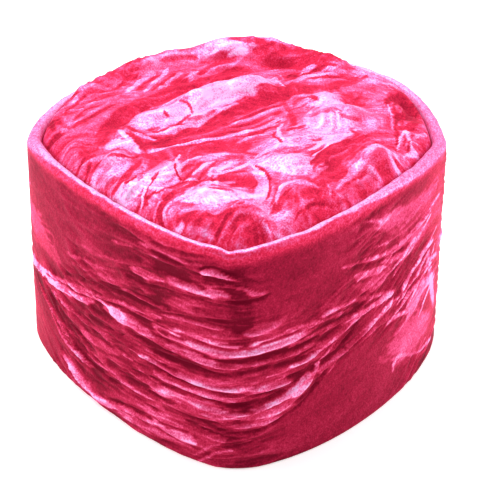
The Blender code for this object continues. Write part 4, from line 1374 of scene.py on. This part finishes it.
class Tree:
    """A node tree, of a material or of a modifier, with one way to add any node."""

    def __init__(self, node_tree):
        self.nodes = node_tree.nodes
        self.links = node_tree.links
        self.nodes.clear()

    def plug(self, value, socket):
        """Links a wrapped or plain socket, or sets a plain value."""
        if isinstance(value, Sock):
            value = value.socket
        if isinstance(value, bpy.types.NodeSocket):
            self.links.new(value, socket)
        else:
            socket.default_value = value

    def node(self, kind, settings=None, inputs=(), output=0):
        """Adds a node, sets what it is first, then its sockets, and returns one of its outputs."""
        node = self.nodes.new(kind)
        settings = dict(settings or {})
        stops = settings.pop("stops", None)
        for key, value in settings.items():
            setattr(node, key, value)
        if stops:
            ramp = node.color_ramp
            while len(ramp.elements) < len(stops):
                ramp.elements.new(0.5)
            for element, (place, colour) in zip(ramp.elements, stops):
                element.position = place
                element.color = (*colour, 1.0)
        pairs = inputs.items() if isinstance(inputs, dict) else enumerate(inputs)
        for key, value in pairs:
            self.plug(value, node.inputs[key])
        return node.outputs[output]

    def value(self, kind, settings=None, inputs=(), output=0):
        """The same, wrapped so that it can be used in an expression."""
        return Sock(self, self.node(kind, settings, inputs, output))

    def finish(self, shader):
        """Ends the tree in the material's surface."""
        self.links.new(shader, self.nodes.new("ShaderNodeOutputMaterial").inputs[0])


print("shader helper ready")

# %% [markdown]
# Two colour ramps are a lit and a shaded copy of the velvet's colours, which is painted light. Where the
# cloth lies level under the light, on the crown and over the rim, the lit one runs from crimson over a hot
# red to lilac. Down the upright band the shaded one is darker and duller, from deep crimson over rose to
# pink. The share of painted light that is kept on the mesh mixes the two. Fine noise stands for the single
# tufts of pile, and pushes the lie up and down from tuft to tuft, with a coarser one for clumps of them. A
# bump from the same noise breaks up the gloss.

# %% Mix the velvet
SHADED_STOPS = [
    (0.00, (0.140, 0.002, 0.014)),
    (0.20, (0.295, 0.007, 0.034)),
    (0.40, (0.480, 0.022, 0.074)),
    (0.60, (0.690, 0.065, 0.190)),
    (0.80, (0.820, 0.180, 0.390)),
    (1.00, (0.860, 0.390, 0.690)),
]
LIT_STOPS = [
    (0.00, (0.140, 0.002, 0.014)),
    (0.20, (0.320, 0.006, 0.030)),
    (0.42, (0.610, 0.017, 0.062)),
    (0.64, (0.700, 0.075, 0.220)),
    (0.82, (0.740, 0.210, 0.485)),
    (1.00, (0.790, 0.430, 0.760)),
]
TUFT_SCALE = 1500.0
CLUMP_SCALE = 420.0
PILE_BUMP = 0.0006
PLAIN_COLOUR = (0.62, 0.02, 0.13, 1.0)
GLOSS_TINT = (1.0, 0.30, 0.60, 1.0)
SHEEN_TINT = (1.0, 0.20, 0.50, 1.0)


def velvet(name, tone):
    """Crushed velvet whose colour follows the lie of its pile, raised or lowered by tone, and mixes a lit
    and a shaded copy of its colours by the share of painted light.
    """
    material = bpy.data.materials.new(name)
    material.use_nodes = True
    tree = Tree(material.node_tree)
    place = tree.node("ShaderNodeTexCoord", output=3)
    lie = tree.value("ShaderNodeAttribute", {"attribute_name": "pile_lie"}, output=2)
    tuft = tree.value("ShaderNodeTexNoise", {}, {"Vector": place, "Scale": TUFT_SCALE, "Detail": 2.0})
    clump = tree.value("ShaderNodeTexNoise", {}, {"Vector": place, "Scale": CLUMP_SCALE, "Detail": 3.0})
    shade = (lie + (tuft - 0.5) * (lie * 0.60 + 0.34) + (clump - 0.5) * 0.24 + tone).clamp()
    shaded_colour = tree.node("ShaderNodeValToRGB", {"stops": SHADED_STOPS}, {0: shade})
    lit_colour = tree.node("ShaderNodeValToRGB", {"stops": LIT_STOPS}, {0: shade})
    painted_light = tree.value("ShaderNodeAttribute", {"attribute_name": "pile_glow"}, output=2)
    colour = tree.node("ShaderNodeMix", {"data_type": "RGBA"}, {0: painted_light, 6: shaded_colour, 7: lit_colour}, output=2)
    rough = 0.62 - shade * 0.20
    metal = 0.10 + shade * 0.25
    height = tuft * 0.6 + clump * 0.8
    bump = tree.node("ShaderNodeBump", {}, {"Strength": 0.35, "Distance": PILE_BUMP, "Height": height})
    inputs = {
        "Base Color": colour,
        "Roughness": rough,
        "Metallic": metal,
        "Normal": bump,
        "Specular IOR Level": 0.04,
        "Specular Tint": GLOSS_TINT,
        "Sheen Weight": 0.05,
        "Sheen Roughness": 0.35,
        "Sheen Tint": SHEEN_TINT,
    }
    tree.finish(tree.node("ShaderNodeBsdfPrincipled", {}, inputs))
    material.diffuse_color = PLAIN_COLOUR
    return material


band.data.materials.append(velvet("crushed_velvet_band", 0.0))
crown.data.materials.append(velvet("crushed_velvet_crown", 0.01))
print("materials", [m.name for m in bpy.data.materials])

# %% [markdown]
# ## The seam
#
# Inside the cap the crown's turned edge is sewn flat against the band. Each stitch is a short raised dash
# of twisted thread, and there are over a hundred, all alike but for a little slant. So one stitch is drawn
# and a node tree sets it out along the seam. Its sizes are named inputs, and the slants come from a fixed
# seed.

# %% Twist the thread
STITCH_SPACING = 0.0050
STITCH_LENGTH = 0.0031
THREAD_WIDTH = 0.0005
LEAST_SLANT = 0.4
STITCH_SLANT = 0.16
SEAM_LINE = SEAM_DEPTH + SEAM_ALLOWANCE * 0.55
TWIST_SCALE = 900.0
FLUFF_SCALE = 2600.0
THREAD_STOPS = [(0.0, (0.230, 0.006, 0.030)), (1.0, (0.620, 0.050, 0.130))]


def thread_material():
    """Dull cotton thread, crimson like the velvet, with its twist as fine slanted bands."""
    material = bpy.data.materials.new("seam_thread")
    material.use_nodes = True
    tree = Tree(material.node_tree)
    place = tree.node("ShaderNodeTexCoord", output=3)
    bands = {"Vector": place, "Scale": TWIST_SCALE}
    twist = tree.value("ShaderNodeTexWave", {"bands_direction": "DIAGONAL"}, bands, 1)
    fluff = tree.value("ShaderNodeTexNoise", {}, {"Vector": place, "Scale": FLUFF_SCALE, "Detail": 2.0})
    shade = (twist * 0.7 + fluff * 0.3).clamp()
    colour = tree.node("ShaderNodeValToRGB", {"stops": THREAD_STOPS}, {0: shade})
    bump = tree.node("ShaderNodeBump", {}, {"Strength": 0.5, "Distance": 0.0002, "Height": shade})
    rough = 0.85 - shade * 0.2
    inputs = {"Base Color": colour, "Roughness": rough, "Normal": bump, "Specular IOR Level": 0.2}
    tree.finish(tree.node("ShaderNodeBsdfPrincipled", {}, inputs))
    material.diffuse_color = (0.50, 0.03, 0.10, 1.0)
    return material


def seam_path():
    """The line that the needle follows, just proud of the crown's turned edge, as a loop of edges."""
    angle = np.radians(np.arange(0.0, 360.0, 2.0))
    level = np.full(len(angle), BAND_HEIGHT - SEAM_LINE)
    inset = wall_inset(angle, level) + CROWN_GAP + CROWN_CLOTH + THREAD_WIDTH * 0.3
    flat = band_outline(angle, level) + inward(angle, level) * inset[:, None]
    mesh = bpy.data.meshes.new("seam_path")
    count = len(angle)
    edges = [(k, (k + 1) % count) for k in range(count)]
    mesh.from_pydata(np.column_stack([flat, level]).tolist(), edges, [])
    return add_object("seam_path", mesh)


print("stitches at %.1f mm below the rim" % (SEAM_LINE * 1000))

# %% Set out the stitches
def stitch_tree(material):
    """A node tree that sets a stitch at even steps along a line, and its inputs by name."""
    group = bpy.data.node_groups.new("stitches_along_seam", "GeometryNodeTree")
    inputs = {}
    group.interface.new_socket(name="Geometry", in_out="INPUT", socket_type="NodeSocketGeometry")
    for name in ("Spacing", "Length", "Width", "Slant"):
        socket = group.interface.new_socket(name=name, in_out="INPUT", socket_type="NodeSocketFloat")
        inputs[name] = socket.identifier
    group.interface.new_socket(name="Geometry", in_out="OUTPUT", socket_type="NodeSocketGeometry")
    tree = Tree(group)
    given = tree.node("NodeGroupInput").node.outputs
    curve = tree.node("GeometryNodeMeshToCurve", {}, {"Mesh": given["Geometry"]})
    upright = tree.node("GeometryNodeSetCurveNormal", {"mode": "Z_UP"}, {"Curve": curve})
    steps = {"Curve": upright, "Length": given["Spacing"]}
    points = tree.node("GeometryNodeCurveToPoints", {"mode": "LENGTH"}, steps)
    half_length = Sock(tree, given["Length"]) * 0.5
    half_width = Sock(tree, given["Width"]) * 0.5
    size = tree.node("ShaderNodeCombineXYZ", {}, (half_width, half_width, half_length))
    ball = tree.node("GeometryNodeMeshUVSphere", {}, {"Segments": 8, "Rings": 6, "Radius": 1.0})
    stitch = tree.node("GeometryNodeTransform", {}, {"Geometry": ball, "Scale": size})
    where = {"Points": points, "Instance": stitch, "Rotation": points.node.outputs["Rotation"]}
    set_out = tree.node("GeometryNodeInstanceOnPoints", {}, where)
    lower = Sock(tree, given["Slant"]) * LEAST_SLANT
    slant = tree.node("FunctionNodeRandomValue", {}, {2: lower, 3: given["Slant"], "Seed": 7}, output=1)
    lean = tree.node("ShaderNodeCombineXYZ", {}, {"X": slant})
    leaning = tree.node("GeometryNodeRotateInstances", {}, {"Instances": set_out, "Rotation": lean})
    real = tree.node("GeometryNodeRealizeInstances", {}, {"Geometry": leaning})
    coloured = tree.node("GeometryNodeSetMaterial", {}, {"Geometry": real, "Material": material})
    tree.plug(coloured, tree.nodes.new("NodeGroupOutput").inputs["Geometry"])
    return group, inputs


def make_stitches():
    """The seam's stitches as one plain mesh."""
    path = seam_path()
    group, inputs = stitch_tree(thread_material())
    modifier = path.modifiers.new("stitches", "NODES")
    modifier.node_group = group
    sizes = {"Spacing": STITCH_SPACING, "Length": STITCH_LENGTH}
    sizes.update({"Width": THREAD_WIDTH, "Slant": STITCH_SLANT})
    for name, value in sizes.items():
        modifier[inputs[name]] = value
    bpy.context.view_layer.update()
    shown = path.evaluated_get(bpy.context.evaluated_depsgraph_get())
    mesh = bpy.data.meshes.new_from_object(shown)
    path.modifiers.remove(modifier)
    bpy.data.objects.remove(path)
    mesh.name = "seam_stitches"
    mesh.shade_smooth()
    return add_object("seam_stitches", mesh)


stitches = make_stitches()
print("stitches have", count_triangles(stitches), "triangles")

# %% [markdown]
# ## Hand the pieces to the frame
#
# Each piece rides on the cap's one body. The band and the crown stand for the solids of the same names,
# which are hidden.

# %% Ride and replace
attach(band, "root")
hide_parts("band")
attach(crown, "root")
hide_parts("crown")
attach(stitches, "root")

# %% [markdown]
# ## Table and light
#
# The photograph is lit by something large and soft from above and behind, which makes the crown glow and
# leaves the front of the band dark, with a weaker light at each side. A white sky fills the shadows. The
# photograph's table is a pure white that a pale floor would only reach under far too strong a lamp, so the
# floor gives off a little light of its own, and still takes the cap's soft shadow.

# %% Floor, sky and lamps
FLOOR_REACH = 6.0
FLOOR_COLOUR = (0.93, 0.93, 0.93, 1.0)
FLOOR_GLOW = 0.4
SKY_STRENGTH = 0.75
WHITE = (1.0, 1.0, 1.0, 1.0)
LIT_POINT = Vector((0.0, 0.0, 0.06))


def plain_material(name, colour):
    """A matt material of one colour for the floor, which isn't part of the cap."""
    material = bpy.data.materials.new(name)
    material.use_nodes = True
    inputs = material.node_tree.nodes["Principled BSDF"].inputs
    inputs["Base Color"].default_value = colour
    inputs["Roughness"].default_value = 0.9
    inputs["Specular IOR Level"].default_value = 0.1
    inputs["Emission Color"].default_value = WHITE
    inputs["Emission Strength"].default_value = FLOOR_GLOW
    return material


def make_floor():
    """A pale floor, large enough to fill the view from any side."""
    mesh = bpy.data.meshes.new("floor")
    corners = [(-1, -1), (1, -1), (1, 1), (-1, 1)]
    mesh.from_pydata([(x * FLOOR_REACH, y * FLOOR_REACH, 0.0) for x, y in corners], [], [(0, 1, 2, 3)])
    mesh.materials.append(plain_material("pale_floor", FLOOR_COLOUR))
    return add_object("floor", mesh)


def add_lamp(name, place, size, power):
    """A square, soft, white lamp that points at the cap."""
    light = bpy.data.lights.new(name, "AREA")
    light.shape = "SQUARE"
    light.size = size
    light.energy = power
    obj = add_object(name, light)
    obj.location = place
    obj.rotation_euler = (LIT_POINT - Vector(place)).to_track_quat("-Z", "Y").to_euler()


def set_sky(strength):
    """An even white sky."""
    world = bpy.data.worlds.new("sky")
    world.use_nodes = True
    sky = world.node_tree.nodes["Background"]
    sky.inputs["Color"].default_value = WHITE
    sky.inputs["Strength"].default_value = strength
    bpy.context.scene.world = world


make_floor()
set_sky(SKY_STRENGTH)
add_lamp("window_above", (-0.15, 0.45, 1.10), 0.8, 14.0)
add_lamp("left_side", (-1.10, 0.10, 0.45), 0.6, 6.0)
add_lamp("right_side", (1.10, 0.15, 0.45), 0.6, 6.0)
bpy.context.scene.view_settings.view_transform = "Standard"
